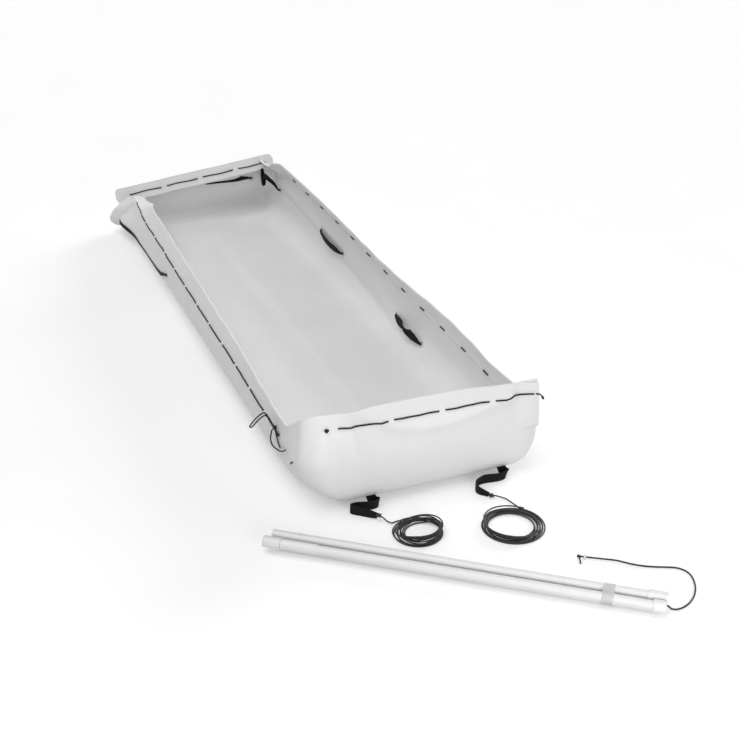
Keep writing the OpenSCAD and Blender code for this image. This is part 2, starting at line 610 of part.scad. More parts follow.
// The left run ends inside, in a short tail that hangs from its grommet
module web_left_end() {
  q = concat([for (a = hole_turn) [left_grommet_y - a.x, a.y, web_pinch]],
    [for (i = [1:6]) [left_grommet_y - 3 - 10 * i, -9.4 + 0.3 * i, mix(web_pinch, web_w, ease(clamp01(i / 3)))]]);
  color("black") strap([for (a = q) side_point(-1, a.x, left_web_z(a.x), a.y)],
    [for (a = q) wall_across(-1, a.x, left_web_z(a.x))], [for (a = q) a.z]);
}

// Rear run: from under the rim band to its grommet, on the inner face of the rear wall
module rear_web() {
  f = function (x, z, off) end_point(1, rear_section, x, z, -sheet_t - off);
  a = face_at(rear_section, rear_grommet[1])[2];
  x = rear_grommet[0];
  z = rear_grommet[1];
  p = [f(x - 170, z + 9, 1.4), f(x - 134, z + 8, 2.4), f(x - 94, z + 6, 3.4), f(x - 54, z + 4, 4.6),
    f(x - 26, z + 2, 5.6), f(x - 10, z + 0.6, 6.2), f(x - 3, z, 5.6), f(x - 0.8, z, 4), f(x, z, 1.8), f(x, z, -2)];
  color("black") strap(p, [for (q = p) [0, cos(a), sin(a)]], concat([web_w, web_w, web_w, web_w * 0.8, 11],
    [for (i = [0:4]) web_pinch]));
}
// Corner tie: a tail down the rear wall and an arm across the corner into the side wall's grommet
module corner_tie() {
  g = side_point(1, corner_grommet_y, corner_grommet_z, 0);
  x = 226;
  y = rear_y - 46;
  tail = [[x - 4, y, 166], [x - 3, y - 1, 150], [x - 1, y - 4, 130], [x, y - 5, 112], [x, y - 4, 104]];
  low = g.z - (grommet_hole_d - web_pinch) / 2 + 0.3;
  arm = [[x + 2, y - 5.6, 138], [x + 12, y - 16, 132], [g.x - 22, g.y + 10, 118], [g.x - 12, g.y + 3, low + 4],
    [g.x - 7, g.y + 0.6, low + 0.6], [g.x - 4, g.y, low], [g.x, g.y, low]];
  color("black") {
    strap(tail, [for (q = tail) [1, 0.4, 0]], [10, 16, web_w * 0.8, web_w * 0.8, 12]);
    strap(arm, [for (q = arm) [0.3, 0.3, 1]], [14, 14, 11, web_pinch, web_pinch, web_pinch, web_pinch]);
  }
}

module grommet() {
  t = sheet_t / 2 + grommet_seat;
  r = grommet_hole_d / 2;
  rf = grommet_d / 2;
  rotate_extrude() polygon([[r, -t - 1], [rf - 1, -t - 1], [rf, -t], [r + 1.1, -t], [r + 1.1, t],
    [rf, t], [rf - 1, t + 1], [r, t + 1]]);
}
module side_grommet(sx, y, z) {
  aim(side_point(sx, y, z, -sheet_t / 2), wall_normal(sx, y, z)) grommet();
}
module grommets_side() {
  color("silver") {
    for (y = right_grommets) side_grommet(1, y, web_z(y));
    side_grommet(1, corner_grommet_y, corner_grommet_z);
    side_grommet(-1, left_grommet_y, left_web_z(left_grommet_y));
  }
}
module grommets_rear() {
  color("silver") aim(end_point(1, rear_section, rear_grommet[0], rear_grommet[1], -sheet_t / 2),
    rear_normal(rear_grommet[1])) grommet();
}

// Tow straps: each leaves its slot in the nose and lies folded on the ground
left_slot = end_point(-1, front_section, front_slot_x(-1), slot_z, 0);
right_slot = end_point(-1, front_section, front_slot_x(1), slot_z, 0);
function slot_seat() = let (a = face_at(front_section, slot_z)[2], d = (slot_w - web_t) / 2 - 0.4)
  [0, d * cos(a), -d * sin(a)];
function along_slot(p, d) = p + slot_seat() + d * slot_normal();
left_strap_route = concat([for (d = [-20, 0, 6]) along_slot(left_slot, d)], lay([[-129, -910, 14],
  [-123, -920, 13.4], [-126, -930, 13.6], [-140, -936, 14], [-160, -934, 14], [-180, -930, 14],
  [-192, -930, 14], [-196, -935, 14], [-192, -942, 14], [-178, -960, 14], [-163, -981, 14],
  [-151, -998, 14]]));
left_strap_across = [[1, 0, 0], [1, 0, 0], [1, 0, 0], [1, 0, 0.6], [0.5, 0.2, 1], [0.1, 0, 1], [0, 0, 1],
  [0, 0, 1], [0, 0, 1], [0, 0, 1], [0, 0, 1], [0, 0, 1], [0, 0, 1], [0, 0, 1], [0, 0, 1]];
left_strap_w = [25, 25, 25, 24, 23, 24, 25, 25, 25, 25, 25, 25, 25, 25, 22];
right_strap_route = concat([for (d = [-20, 0, 6]) along_slot(right_slot, d)], lay([[219, -910, 14],
  [222, -922, 13.6], [214, -934, 14], [196, -942, 14], [176, -940, 14], [157, -937, 14],
  [138, -943, 14], [123, -956, 14], [117, -975, 14], [120, -990, 13], [129, -1001, 11], [138, -1008, 8]]));
right_strap_across = [[1, 0, 0], [1, 0, 0], [1, 0, 0], [1, 0, 0.6], [0.5, -0.2, 1], [0.1, 0, 1], [0, 0, 1],
  [0, 0, 1], [0, 0, 1], [0, 0, 1], [0, 0, 1], [0, 0, 1], [0, 0, 1], [0, 0, 1], [0, 0, 1]];
right_strap_w = [25, 25, 25, 24, 23, 24, 25, 25, 25, 25, 25, 25, 22, 17, 12];
module tow_strap_left() { color("black") strap(left_strap_route, left_strap_across, left_strap_w); }
module tow_strap_right() { color("black") strap(right_strap_route, right_strap_across, right_strap_w); }

// Knots between strap and line, their axes along the line
knot_left = ahead + [-147.9, -1002.4, 17];
knot_right = ahead + [142.8, -1011.1, 7];
line_left_dir = unit([16, -22, -6]);
line_right_dir = unit([20, -13, 0]);
knot_round = 0.95 * rope_d;
module tow_knot_left() { color("black") aim(knot_left, line_left_dir) knot(knot_round); }
module tow_knot_right() { color("black") aim(knot_right, line_right_dir) knot(knot_round); }

// Coils: a flat spiral in on the ground, a climb where it turns back, and a spiral out on top
coil_pitch = rope_d + 0.6;
coil_rise = rope_d + 0.5;
coil_steps = 24;
half_turns = coil_turns / 2;
function coil_layer(t) = clamp01((t - (half_turns - 0.25)) / 0.5);
function coil_point(c, r, from, dir, t) = let (m = t < half_turns ? t : coil_turns - t,
    rr = r - coil_pitch * m, a = from + dir * 360 * t)
  [c.x + rr * cos(a), c.y + rr * sin(a), rope_r + coil_rise * ease(coil_layer(t))];
function coil_route(c, r, from, dir) = let (n = coil_turns * coil_steps,
    p = [for (i = [0:n]) coil_point(c, r, from, dir, coil_turns * i / n)],
    d0 = unit(p[0] - p[1]), d1 = unit(p[n] - p[n - 1]))
  concat([p[0] + rope_d * d0], p, [p[n] + rope_d * d1]);
coil_left_c = ahead + [-84, -1077, 0];
coil_right_c = ahead + [136, -1135, 0];
coil_left = coil_route(coil_left_c, coil_left_r, 106, -1);
coil_right = coil_route(coil_right_c, coil_right_r, 44, -1);
module tow_coil_left() { color("black") cord(coil_left, rope_r, cord_sides); }
module tow_coil_right() { color("black") cord(coil_right, rope_r, cord_sides); }

// Least distance between points of a coil that are half a turn or more apart, less the line itself
function coil_gap(p) = min([for (i = [0:len(p) - 1]) for (j = [i + coil_steps / 2:1:len(p) - 1])
  norm(p[i] - p[j])]) - rope_d;
echo(coil_left_gap = coil_gap(coil_left), coil_right_gap = coil_gap(coil_right));

left_line_end = coil_left[0];
left_line_dir = unit(coil_left[0] - coil_left[1]);
right_line_end = coil_right[0];
right_line_dir = unit(coil_right[0] - coil_right[1]);
knot_half = 1.5 * knot_round;
left_line_route = [knot_left + knot_half * line_left_dir, knot_left + (knot_half + 7) * line_left_dir,
  ahead + [-130, -1026, 6], left_line_end + 7 * left_line_dir, left_line_end];
right_line_route = [knot_right + knot_half * line_right_dir, knot_right + (knot_half + 7) * line_right_dir,
  ahead + [172, -1034, 3], for (d = [14, 7, 0]) right_line_end + d * right_line_dir];
module tow_line_left() { color("black") cord(left_line_route, rope_r, 8); }
module tow_line_right() { color("black") cord(right_line_route, rope_r, 8); }

// Pole bundle: places across the bundle are [sideways, height] from the front bottom tube
pole_dir = [cos(pole_angle), sin(pole_angle), 0];
pole_side = [-sin(pole_angle), cos(pole_angle), 0];
pole_base = -1056;
tube_step = tube_d + tube_gap;
wide_step = (tube_d + coupler_d) / 2 + tube_gap;
bottom_at = [0, tube_r];
cord_at = [tube_step, tube_r];
coupler_step = coupler_d + tube_gap;
top_at = [tube_step / 2, tube_r + sqrt(wide_step * wide_step - tube_step * tube_step / 4)];
to_top = unit(top_at - bottom_at);
front_rise = (2 * wide_step * wide_step - coupler_step * coupler_step) / (2 * wide_step);
front_out = sqrt(wide_step * wide_step - front_rise * front_rise);
front_at = bottom_at + front_rise * to_top + front_out * [-to_top[1], to_top[0]];
bottom_s = 290;
cord_s = 296;
top_s = 277;
front_s = 290;
band_s = front_s + tube_len - 125;
function pole_point(at, s) = ahead + pole_dir * s + pole_side * (pole_base + at[0]) + [0, 0, at[1]];
module along_pole(at, s) {
  translate(pole_point(at, s)) rotate([0, 0, pole_angle]) rotate([0, 90, 0]) children();
}
module pipe(d, bore, h) {
  difference() {
    cylinder(d = d, h = h);
    translate([0, 0, -1]) cylinder(d = bore, h = h + 2);
  }
}
module pole_tube(at, s) {
  color("white") along_pole(at, s) pipe(tube_d, tube_bore_d, tube_len);
}
module pole_tube_top() { pole_tube(top_at, top_s); }
module pole_tube_front() { pole_tube(front_at, front_s); }
module pole_tube_bottom() { pole_tube(bottom_at, bottom_s); }
module pole_tube_cord() { pole_tube(cord_at, cord_s); }

// A coupling sits on the end of a tube and is half filled by it
coupler_grip = 17;
socket_slip = 0.05;
front_coupler_len = 27;
module coupling(at, s, len) {
  color("white") along_pole(at, s + tube_len - coupler_grip) difference() {
    cylinder(d = coupler_d, h = len);
    translate([0, 0, -1]) cylinder(d = tube_d + 2 * socket_slip, h = coupler_grip + 1 + socket_slip);
    translate([0, 0, -1]) cylinder(d = tube_bore_d, h = len + 2);
    translate([0, 0, coupler_grip + 2]) cylinder(d = tube_d + 2 * socket_slip, h = len);
  }
}
module pole_coupler_top() { coupling(top_at, top_s, coupler_len); }
module pole_coupler_front() { coupling(front_at, front_s, front_coupler_len); }
module pole_sleeve() {
  color("white") along_pole(front_at, front_s + 15) pipe(sleeve_d, tube_d + 2 * socket_slip, sleeve_len);
}
module pole_plug() {
  color("white") along_pole(front_at, front_s - plug_len + 14) difference() {
    union() {
      cylinder(d = coupler_d - 2, h = 3);
      translate([0, 0, 3]) cylinder(d = coupler_d, h = plug_len - 3);
    }
    translate([0, 0, plug_len - 14]) cylinder(d = tube_d + 2 * socket_slip, h = plug_len);
    translate([0, 0, 8]) cylinder(d = tube_bore_d, h = plug_len);
  }
}
module band_outline(grow) {
  hull() {
    for (at = [bottom_at, cord_at, top_at, front_at])
      translate([-at[1], at[0]]) circle(tube_r + grow, $fn = 32);
  }
}
module pole_band() {
  color("lightgray", 0.6) along_pole([0, 0], band_s) linear_extrude(band_w) difference() {
    band_outline(0.8);
    band_outline(0.3);
  }
}

// Shock cord: straight out of its tube, round in a bow on the ground, up to the bead and the knot
bead_z = 6.3;
bead_d = 12;
shock_exit = pole_point([cord_at[0], tube_r - tube_bore_d / 2 + shock_r + 0.3], cord_s + tube_len);
shock_run = unit([-68, 43, 0]);
shock_end = ahead + [218, -1303, bead_z];
shock_route = concat([shock_exit - 2 * pole_dir, shock_exit + 8 * pole_dir], lay([[303, -1534, 3.6],
  [322, -1536, 2.2], [342, -1531, 2.2], [362, -1520, 2.2], [380, -1505, 2.2], [395, -1486, 2.2], [406, -1464, 2.2],
  [411, -1442, 2.2], [406, -1423, 2.2], [393, -1410, 2.2], [374, -1401, 2.2], [352, -1391, 2.2],
  [334, -1381, 2.2], [314, -1368, 3], [296, -1354, 4.8]]),
  [for (d = [76, 50, 25, 0]) shock_end - d * shock_run]);
module shock_cord() { color("black") cord(shock_route, shock_r, 8); }
module shock_cord_inner() {
  color("black") along_pole([cord_at[0], shock_exit.z], cord_s + 4) cylinder(r = shock_r, h = tube_len - 6);
}
module cord_bead() {
  color("white") aim(shock_end - 9 * shock_run, shock_run) difference() {
    cylinder(d = bead_d, h = 5);
    translate([0, 0, -1]) cylinder(d = shock_d + 0.6, h = 7);
  }
}
module cord_knot() {
  color("black") {
    aim(shock_end + 5 * shock_run, shock_run) knot(3);
    cord([for (q = [[-7.1, -2, -1.5], [-9, -8, -3], [-12, -16, -4.2]]) shock_end + q], shock_r * 0.9, 8);
  }
}

hull_sheet();
front_flap();
front_hem();
side_hem_left();
side_hem_right();
rear_band_inner();
rear_band_outer();
corner_fold_left();
corner_fold_right();
lacing_front();
lacing_rear();
lacing_left();
lacing_right();
lacing_bow();
front_knot();
right_knot();
corner_stitch();
handle_right_rear();
handle_right_front();
web_right_rear();
web_right_mid();
web_right_end();
web_left();
web_left_end();
rear_web();
corner_tie();
grommets_side();
grommets_rear();
tow_strap_left();
tow_strap_right();
tow_knot_left();
tow_knot_right();
tow_line_left();
tow_line_right();
tow_coil_left();
tow_coil_right();
pole_tube_top();
pole_tube_front();
pole_tube_bottom();
pole_tube_cord();
pole_coupler_top();
pole_coupler_front();
pole_sleeve();
pole_plug();
pole_band();
shock_cord();
shock_cord_inner();
cord_bead();
cord_knot();
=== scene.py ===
import math
import bmesh
import bpy
import numpy as np
from mathutils import Matrix, Vector


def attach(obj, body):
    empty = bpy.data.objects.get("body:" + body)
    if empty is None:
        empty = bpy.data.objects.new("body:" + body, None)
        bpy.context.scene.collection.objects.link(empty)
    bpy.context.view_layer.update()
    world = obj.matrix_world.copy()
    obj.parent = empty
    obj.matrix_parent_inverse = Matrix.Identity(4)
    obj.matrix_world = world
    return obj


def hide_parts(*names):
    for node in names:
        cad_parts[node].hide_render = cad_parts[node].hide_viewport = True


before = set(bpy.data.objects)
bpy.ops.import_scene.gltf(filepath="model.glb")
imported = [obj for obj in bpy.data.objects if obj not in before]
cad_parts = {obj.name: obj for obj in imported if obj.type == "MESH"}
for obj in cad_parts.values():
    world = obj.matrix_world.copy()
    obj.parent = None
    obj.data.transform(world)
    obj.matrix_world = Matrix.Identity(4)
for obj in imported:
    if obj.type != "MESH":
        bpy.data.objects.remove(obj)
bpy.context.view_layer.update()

print("pulk sled: frame loaded,", len(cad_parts), "nodes")

# camera, lights and floor
cameraSetup = {
    "place": (-1.1825, -3.3, 1.76375),  # metres, ahead of the nose and to its left
    "yaw": 23.60,
    "pitch": 28.41,
    "roll": 1.21,
    "focal": 1310.0,  # pixels, in a frame of this many
    "frame": 740.0,
    "sensor": 36.0,
}


def newObject(name, data):
    made = bpy.data.objects.new(name, data)
    bpy.context.scene.collection.objects.link(made)
    return made


def makeCamera(v):
    # looks along (sin yaw cos pitch, cos yaw cos pitch, -sin pitch), then rolls about that line
    yaw, pitch, roll = (math.radians(v[k]) for k in ("yaw", "pitch", "roll"))
    ahead = Vector((math.sin(yaw) * math.cos(pitch), math.cos(yaw) * math.cos(pitch), -math.sin(pitch)))
    right = Vector((math.cos(yaw), -math.sin(yaw), 0))
    up = right.cross(ahead)
    right, up = (math.cos(roll) * right + math.sin(roll) * up, math.cos(roll) * up - math.sin(roll) * right)
    data = bpy.data.cameras.new("photoCamera")
    data.lens, data.sensor_width, data.sensor_fit = v["focal"] * v["sensor"] / v["frame"], v["sensor"], "HORIZONTAL"
    data.clip_end = 60
    camera = newObject("photoCamera", data)
    turn = Matrix((right, up, -ahead)).transposed()
    camera.matrix_world = Matrix.Translation(Vector(v["place"])) @ turn.to_4x4()
    bpy.context.scene.camera = camera


makeCamera(cameraSetup)
bpy.context.scene.view_settings.view_transform = "Standard"


# small helpers for node trees
def addNode(tree, kind, settings=None, **sockets):
    # a node with its settings; each socket is set to a value or joined to another socket
    made = tree.nodes.new(kind)
    for name, value in (settings or {}).items():
        setattr(made, name, value)
    for name, value in sockets.items():
        numbered = name[0] == "i" and name[1:].isdigit()
        target = made.inputs[int(name[1:]) if numbered else name]
        if isinstance(value, bpy.types.NodeSocket):
            tree.links.new(value, target)
        else:
            target.default_value = value
    return made


def emptyTree(owner, outputKind):
    # the node tree of a material or world, with nothing but its output
    owner.use_nodes = True
    owner.node_tree.nodes.clear()
    return owner.node_tree, owner.node_tree.nodes.new(outputKind)


def grey(v, tint=(1.0, 1.0, 1.0)):
    return (v * tint[0], v * tint[1], v * tint[2], 1)


def ramp(tree, factor, stops):
    # a colour ramp between (place, colour) stops
    made = addNode(tree, "ShaderNodeValToRGB", Fac=factor)
    band = made.color_ramp
    while len(band.elements) < len(stops):
        band.elements.new(0.5)
    for element, (place, colour) in zip(band.elements, stops):
        element.position, element.color = place, colour
    return made.outputs["Color"]


def mixColour(tree, factor, a, b, blend="MIX"):
    settings = {"data_type": "RGBA", "blend_type": blend}
    return addNode(tree, "ShaderNodeMix", settings, Factor=factor, i6=a, i7=b).outputs[2]


def noise(tree, vector, scale, detail, roughness=0.5):
    made = addNode(tree, "ShaderNodeTexNoise", Vector=vector, Scale=scale, Detail=detail, Roughness=roughness)
    return made.outputs["Fac"]


def scaled(tree, vector, scale):
    return addNode(tree, "ShaderNodeMapping", Vector=vector, Scale=scale).outputs["Vector"]


def rescaled(tree, value, toLow=0.0, toHigh=1.0, fromLow=0.0, fromHigh=1.0):
    return addNode(tree, "ShaderNodeMapRange", Value=value, i1=fromLow, i2=fromHigh, i3=toLow, i4=toHigh).outputs[0]


def mathOf(tree, operation, a, b=0.0):
    return addNode(tree, "ShaderNodeMath", {"operation": operation}, i0=a, i1=b).outputs["Value"]


def placeOf(tree, kind="Object"):
    return addNode(tree, "ShaderNodeTexCoord").outputs[kind]


def directlySeen(tree):
    # 1 for the rays that show a surface, 0 for the rays that light others
    rays = addNode(tree, "ShaderNodeLightPath").outputs
    mirrored = mathOf(tree, "MAXIMUM", rays["Is Glossy Ray"], rays["Is Transmission Ray"])
    return mathOf(tree, "MAXIMUM", rays["Is Camera Ray"], mirrored)


floorSetup = {"half": 14.0, "height": -0.0008, "tones": (0.75, 0.77), "glow": 0.30}


def makeFloor(v):
    # pale paper; the glow is seen but lights nothing, so it lifts the floor and keeps the shadow
    h, z = v["half"], v["height"]
    mesh = bpy.data.meshes.new("studioFloor")
    mesh.from_pydata([(-h, -h, z), (h, -h, z), (h, h, z), (-h, h, z)], [], [(0, 1, 2, 3)])
    floor = newObject("studioFloor", mesh)
    material = bpy.data.materials.new("paleFloor")
    tree, out = emptyTree(material, "ShaderNodeOutputMaterial")
    grain = noise(tree, placeOf(tree), 3.0, 2.0)
    paper = ramp(tree, grain, [(0.3, grey(v["tones"][0])), (0.7, grey(v["tones"][1]))])
    matt = addNode(tree, "ShaderNodeBsdfDiffuse", Color=paper)
    strength = mathOf(tree, "MULTIPLY", directlySeen(tree), v["glow"])
    glow = addNode(tree, "ShaderNodeEmission", Color=(1, 1, 1, 1), Strength=strength)
    both = addNode(tree, "ShaderNodeAddShader", i0=matt.outputs[0], i1=glow.outputs[0])
    tree.links.new(both.outputs[0], out.inputs["Surface"])
    mesh.materials.append(material)


lightSetup = {
    "world": 0.355,  # plain soft light from all round
    "aim": (0, -0.7, 0.1),
    # suns: strength, direction that they come from, spread in degrees
    # the key is low and wide from the right and behind, so the tub's inside lies in its own shade
    "keyLight": (1.75, (1.0, 0.38, 0.40), 32.0),
    # the open light is steep from the left and in front, for the surfaces that face up
    "openLight": (1.25, (-0.30, -0.30, 0.9), 44.0),
    # the fill lies low in front of the nose, so that it fades towards the rear wall: power, place, size
    "fillLight": (14.0, (-0.15, -2.8, 0.45), 0.8),
}


def makeLights(v):
    world = bpy.data.worlds.new("studio")
    bpy.context.scene.world = world
    tree, out = emptyTree(world, "ShaderNodeOutputWorld")
    soft = addNode(tree, "ShaderNodeBackground", Color=(1, 1, 1, 1), Strength=v["world"])
    white = addNode(tree, "ShaderNodeBackground", Color=(1, 1, 1, 1), Strength=1.0)
    mixed = addNode(tree, "ShaderNodeMixShader", Fac=directlySeen(tree), i1=soft.outputs[0], i2=white.outputs[0])
    tree.links.new(mixed.outputs[0], out.inputs["Surface"])
    aim = Vector(v["aim"])
    for name in ("keyLight", "openLight", "fillLight"):
        power, place, spread = v[name]
        place = Vector(place)
        if name == "fillLight":
            lamp = bpy.data.lights.new(name, "AREA")
            lamp.size, lamp.shape, lamp.use_shadow = spread, "DISK", True
        else:
            lamp = bpy.data.lights.new(name, "SUN")
            lamp.angle = math.radians(spread)
            place *= 4
        lamp.energy = power
        turn = (aim - place).to_track_quat("-Z", "Y").to_matrix().to_4x4()
        newObject(name, lamp).matrix_world = Matrix.Translation(place) @ turn


makeFloor(floorSetup)
makeLights(lightSetup)
print("camera, floor and lights made")


# small helpers for meshes, all in millimetres
def unit(v):
    return v / np.maximum(np.linalg.norm(v, axis=-1, keepdims=True), 1e-9)


def ease(t):
    t = np.clip(t, 0, 1)
    return t * t * (3 - 2 * t)


def bell(distance, width):
    return np.exp(-(distance / width) ** 2)


def mixOf(a, b, t):
    return a + (b - a) * t


def smoothPath(points, per):
    # Catmull-Rom: each span is the cubic through its two points, with slopes from their neighbours
    p = np.asarray(points, float)
    q = np.vstack([2 * p[0] - p[1], p, 2 * p[-1] - p[-2]])
    t = (np.arange(per) / per)[None, :, None]
    a, b, c, d = (q[k:len(p) - 1 + k, None, :] for k in range(4))
    spans = 0.5 * (2 * b + (c - a) * t + (2 * a - 5 * b + 4 * c - d) * t ** 2 + (3 * b - a - 3 * c + d) * t ** 3)
    return np.vstack([spans.reshape(-1, p.shape[1]), p[-1:]])


def even(points, count):
    # the same line, its points spaced evenly along it
    p = np.asarray(points, float)
    s = distances(p)
    t = np.linspace(0, s[-1], count)
    return np.stack([np.interp(t, s, p[:, k]) for k in range(p.shape[1])], 1)


def tangents(p):
    return unit(np.gradient(p, axis=0))


def gridQuads(m, n, closed=False):
    # quads of an m by n grid, with each corner's own place in the grid
    i, j = (x.ravel() for x in np.meshgrid(np.arange(m - 1), np.arange(n if closed else n - 1), indexing="ij"))
    k = (j + 1) % n
    quads = np.stack([i * n + j, i * n + k, (i + 1) * n + k, (i + 1) * n + j], 1)
    corners = np.stack([np.stack(c, 1) for c in ((i, j), (i, j + 1), (i + 1, j + 1), (i + 1, j))], 1)
    return quads, corners


def putMesh(name, points, faces, body, material, uv=None, fold=None):
    # a finished piece: millimetres become metres, the object stays at the origin
    mesh = bpy.data.meshes.new(name)
    mesh.from_pydata((np.asarray(points) * 0.001).tolist(), [], [f.tolist() for g in faces for f in np.asarray(g)])
    if uv is not None:
        layer = mesh.uv_layers.new(name="along")
        flat = np.zeros((len(mesh.loops), 2), np.float32)
        flat[:len(uv)] = uv
        layer.data.foreach_set("uv", flat.ravel())
    if fold is not None:
        mesh.attributes.new("fold", "FLOAT", "POINT").data.foreach_set("value", np.asarray(fold, np.float32))
    mesh.polygons.foreach_set("use_smooth", np.ones(len(mesh.polygons), bool))
    mesh.materials.append(material)
    mesh.update()
    piece = newObject(name, mesh)
    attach(piece, body)
    return piece


def distances(p):
    # how far along the line each point lies
    return np.concatenate([[0], np.cumsum(np.linalg.norm(np.diff(p, axis=0), axis=1))])


def carried(path, ring, side, across):
    # a profile ring, as (side, across) steps, carried along a path with those two directions
    return path[:, None, :] + ring[..., 0:1] * side[:, None, :] + ring[..., 1:2] * across[:, None, :]


def closeEnds(rings):
    # fans to a point at each end of a stack of rings
    m, n = rings.shape[:2]
    j = np.arange(n)
    first, last = m * n, m * n + 1
    fans = [np.stack([np.full(n, first), (j + 1) % n, j], 1),
            np.stack([np.full(n, last), (m - 1) * n + j, (m - 1) * n + (j + 1) % n], 1)]
    return np.vstack([rings.reshape(-1, 3), rings[0].mean(0), rings[-1].mean(0)]), fans


def tubeParts(path, radius, sides=10, up=(0, 0, 1)):
    # a circle carried along a path; the ends are rounded by two smaller rings
    p = np.asarray(path, float)
    t = tangents(p)
    r = np.broadcast_to(np.asarray(radius, float), (len(p),)).copy()
    p = np.vstack([p[:1], p, p[-1:]])
    t = np.vstack([t[:1], t, t[-1:]])
    p[0] -= 0.45 * r[0] * t[0]
    p[-1] += 0.45 * r[-1] * t[-1]
    r = np.concatenate([[0.62 * r[0]], r, [0.62 * r[-1]]])
    up = np.asarray(up, float)
    up = np.vstack([up[:1], up, up[-1:]]) if up.ndim == 2 else np.broadcast_to(up, t.shape)
    side = unit(np.cross(t, up))
    across = np.cross(side, t)
    a = 2 * np.pi * np.arange(sides) / sides
    ring = np.stack([np.cos(a), np.sin(a)], 1)[None] * r[:, None, None]
    rings = carried(p, ring, side, across)
    s = distances(p)
    quads, corners = gridQuads(len(p), sides, True)
    uv = np.stack([s[corners[..., 0]] * 0.001, corners[..., 1] / sides], 2).reshape(-1, 2)
    points, fans = closeEnds(rings)
    return points, [quads[:, ::-1], *fans], uv.reshape(-1, 4, 2)[:, ::-1].reshape(-1, 2)


def joinParts(parts):
    # several (points, faces, uv) sets as one; quads come first so that their corners keep their uv
    points, quads, fans, uvs, base = [], [], [], [], 0
    for p, f, uv in parts:
        points.append(p)
        quads.append(np.asarray(f[0]) + base)
        fans += [np.asarray(x) + base for x in f[1:]]
        uvs.append(uv)
        base += len(p)
    return np.vstack(points), [np.vstack(quads), *fans], np.vstack(uvs)


def makeTubes(name, paths, radius, body, material, sides, ups):
    points, faces, uv = joinParts([tubeParts(p, radius, sides, up) for p, up in zip(paths, ups)])
    return putMesh(name, points, faces, body, material, uv)


def makeTube(name, path, radius, body, material, sides=10, up=(0, 0, 1)):
    return makeTubes(name, [path], radius, body, material, sides, [up])


def strapParts(path, width, across, widths, thick):
    # a flat band carried along a path: its section is a thin lens-edged bar, thicker where it is gathered
    p = np.asarray(path, float)
    t = tangents(p)
    w = unit(across - t * (across * t).sum(1, keepdims=True))
    normal = np.cross(t, w)
    squeeze = np.clip(1 - widths / width, 0, 1)
    g = thick * (0.5 + 0.75 * squeeze)
    half = np.array([-1, -0.985, -0.9, -0.6, -0.3, 0, 0.3, 0.6, 0.9, 0.985])
    rise = np.array([0, 0.6, 1, 1, 1, 1, 1, 1, 1, 0.6])
    x, top = np.append(half, -half), np.append(rise, -rise)
    fold = squeeze[:, None] * 0.9 * np.cos(np.pi * x[None] * 1.5) * (np.abs(x[None]) < 0.99)
    ring = np.stack([x[None] * widths[:, None] / 2, top[None] * g[:, None] + fold * 0.8], 2)
    rings = carried(p, ring, w, normal)
    s = distances(p)
    n = len(x)
    quads, corners = gridQuads(len(p), n, True)
    xs = np.concatenate([x, x[:1]])
    uv = np.stack([s[corners[..., 0]] * 0.001, xs[corners[..., 1]] * width * 0.0005], 2).reshape(-1, 2)
    points, fans = closeEnds(rings)
    # the ring runs one way round, so the sign of its area says which way the faces point
    return points, [quads, fans[0][:, ::-1], fans[1][:, ::-1]], uv


def fixNormals(piece, weld=False):
    # doubled points joined where asked for, and the faces of a closed piece turned outwards
    work = bmesh.new()
    work.from_mesh(piece.data)
    if weld:
        bmesh.ops.remove_doubles(work, verts=work.verts, dist=0.00002)
    bmesh.ops.recalc_face_normals(work, faces=work.faces)
    work.to_mesh(piece.data)
    work.free()
    piece.data.update()
    return piece


# materials: a look gives the sockets of its surface, then its bumps as (height, strength, distance)
def makeMaterial(name, look, *values):
    material = bpy.data.materials.new(name)
    tree, out = emptyTree(material, "ShaderNodeOutputMaterial")
    sockets, bumps = look(tree, *values)
    shader = addNode(tree, "ShaderNodeBsdfPrincipled", None, **sockets)
    normal = None
    for height, strength, distance in bumps:
        bump = addNode(tree, "ShaderNodeBump", Height=height, Strength=strength, Distance=distance)
        if normal:
            tree.links.new(normal, bump.inputs["Normal"])
        normal = bump.outputs["Normal"]
    tree.links.new(normal, shader.inputs["Normal"])
    tree.links.new(shader.outputs["BSDF"], out.inputs["Surface"])
    return material


def sheetLook(tree):
    # white polythene: faint clouding, a fine grain, scuffs along its length, pale stress lines at its folds
    place = placeOf(tree)
    cloud = noise(tree, place, 5.0, 4.0, 0.55)
    fine = noise(tree, place, 420.0, 2.0)
    scuff = noise(tree, scaled(tree, place, (60.0, 3.0, 60.0)), 6.0, 5.0, 0.7)
    fold = addNode(tree, "ShaderNodeAttribute", {"attribute_name": "fold"}).outputs["Fac"]
    base = ramp(tree, cloud, [(0.3, grey(0.755, (1, 1, 0.995))), (0.7, grey(0.80))])
    marks = ramp(tree, scuff, [(0.60, grey(1.0)), (0.74, grey(0.955))])
    worn = mixColour(tree, 1.0, base, marks, "MULTIPLY")
    pale = mixColour(tree, mathOf(tree, "MULTIPLY", fold, 0.5), worn, grey(0.88))
    sockets = {"Base Color": pale, "Roughness": rescaled(tree, scuff, 0.36, 0.56), "Specular IOR Level": 0.45}
    return sockets, [(cloud, 0.25, 0.004), (scuff, 0.06, 0.0006), (fine, 0.10, 0.0002)]


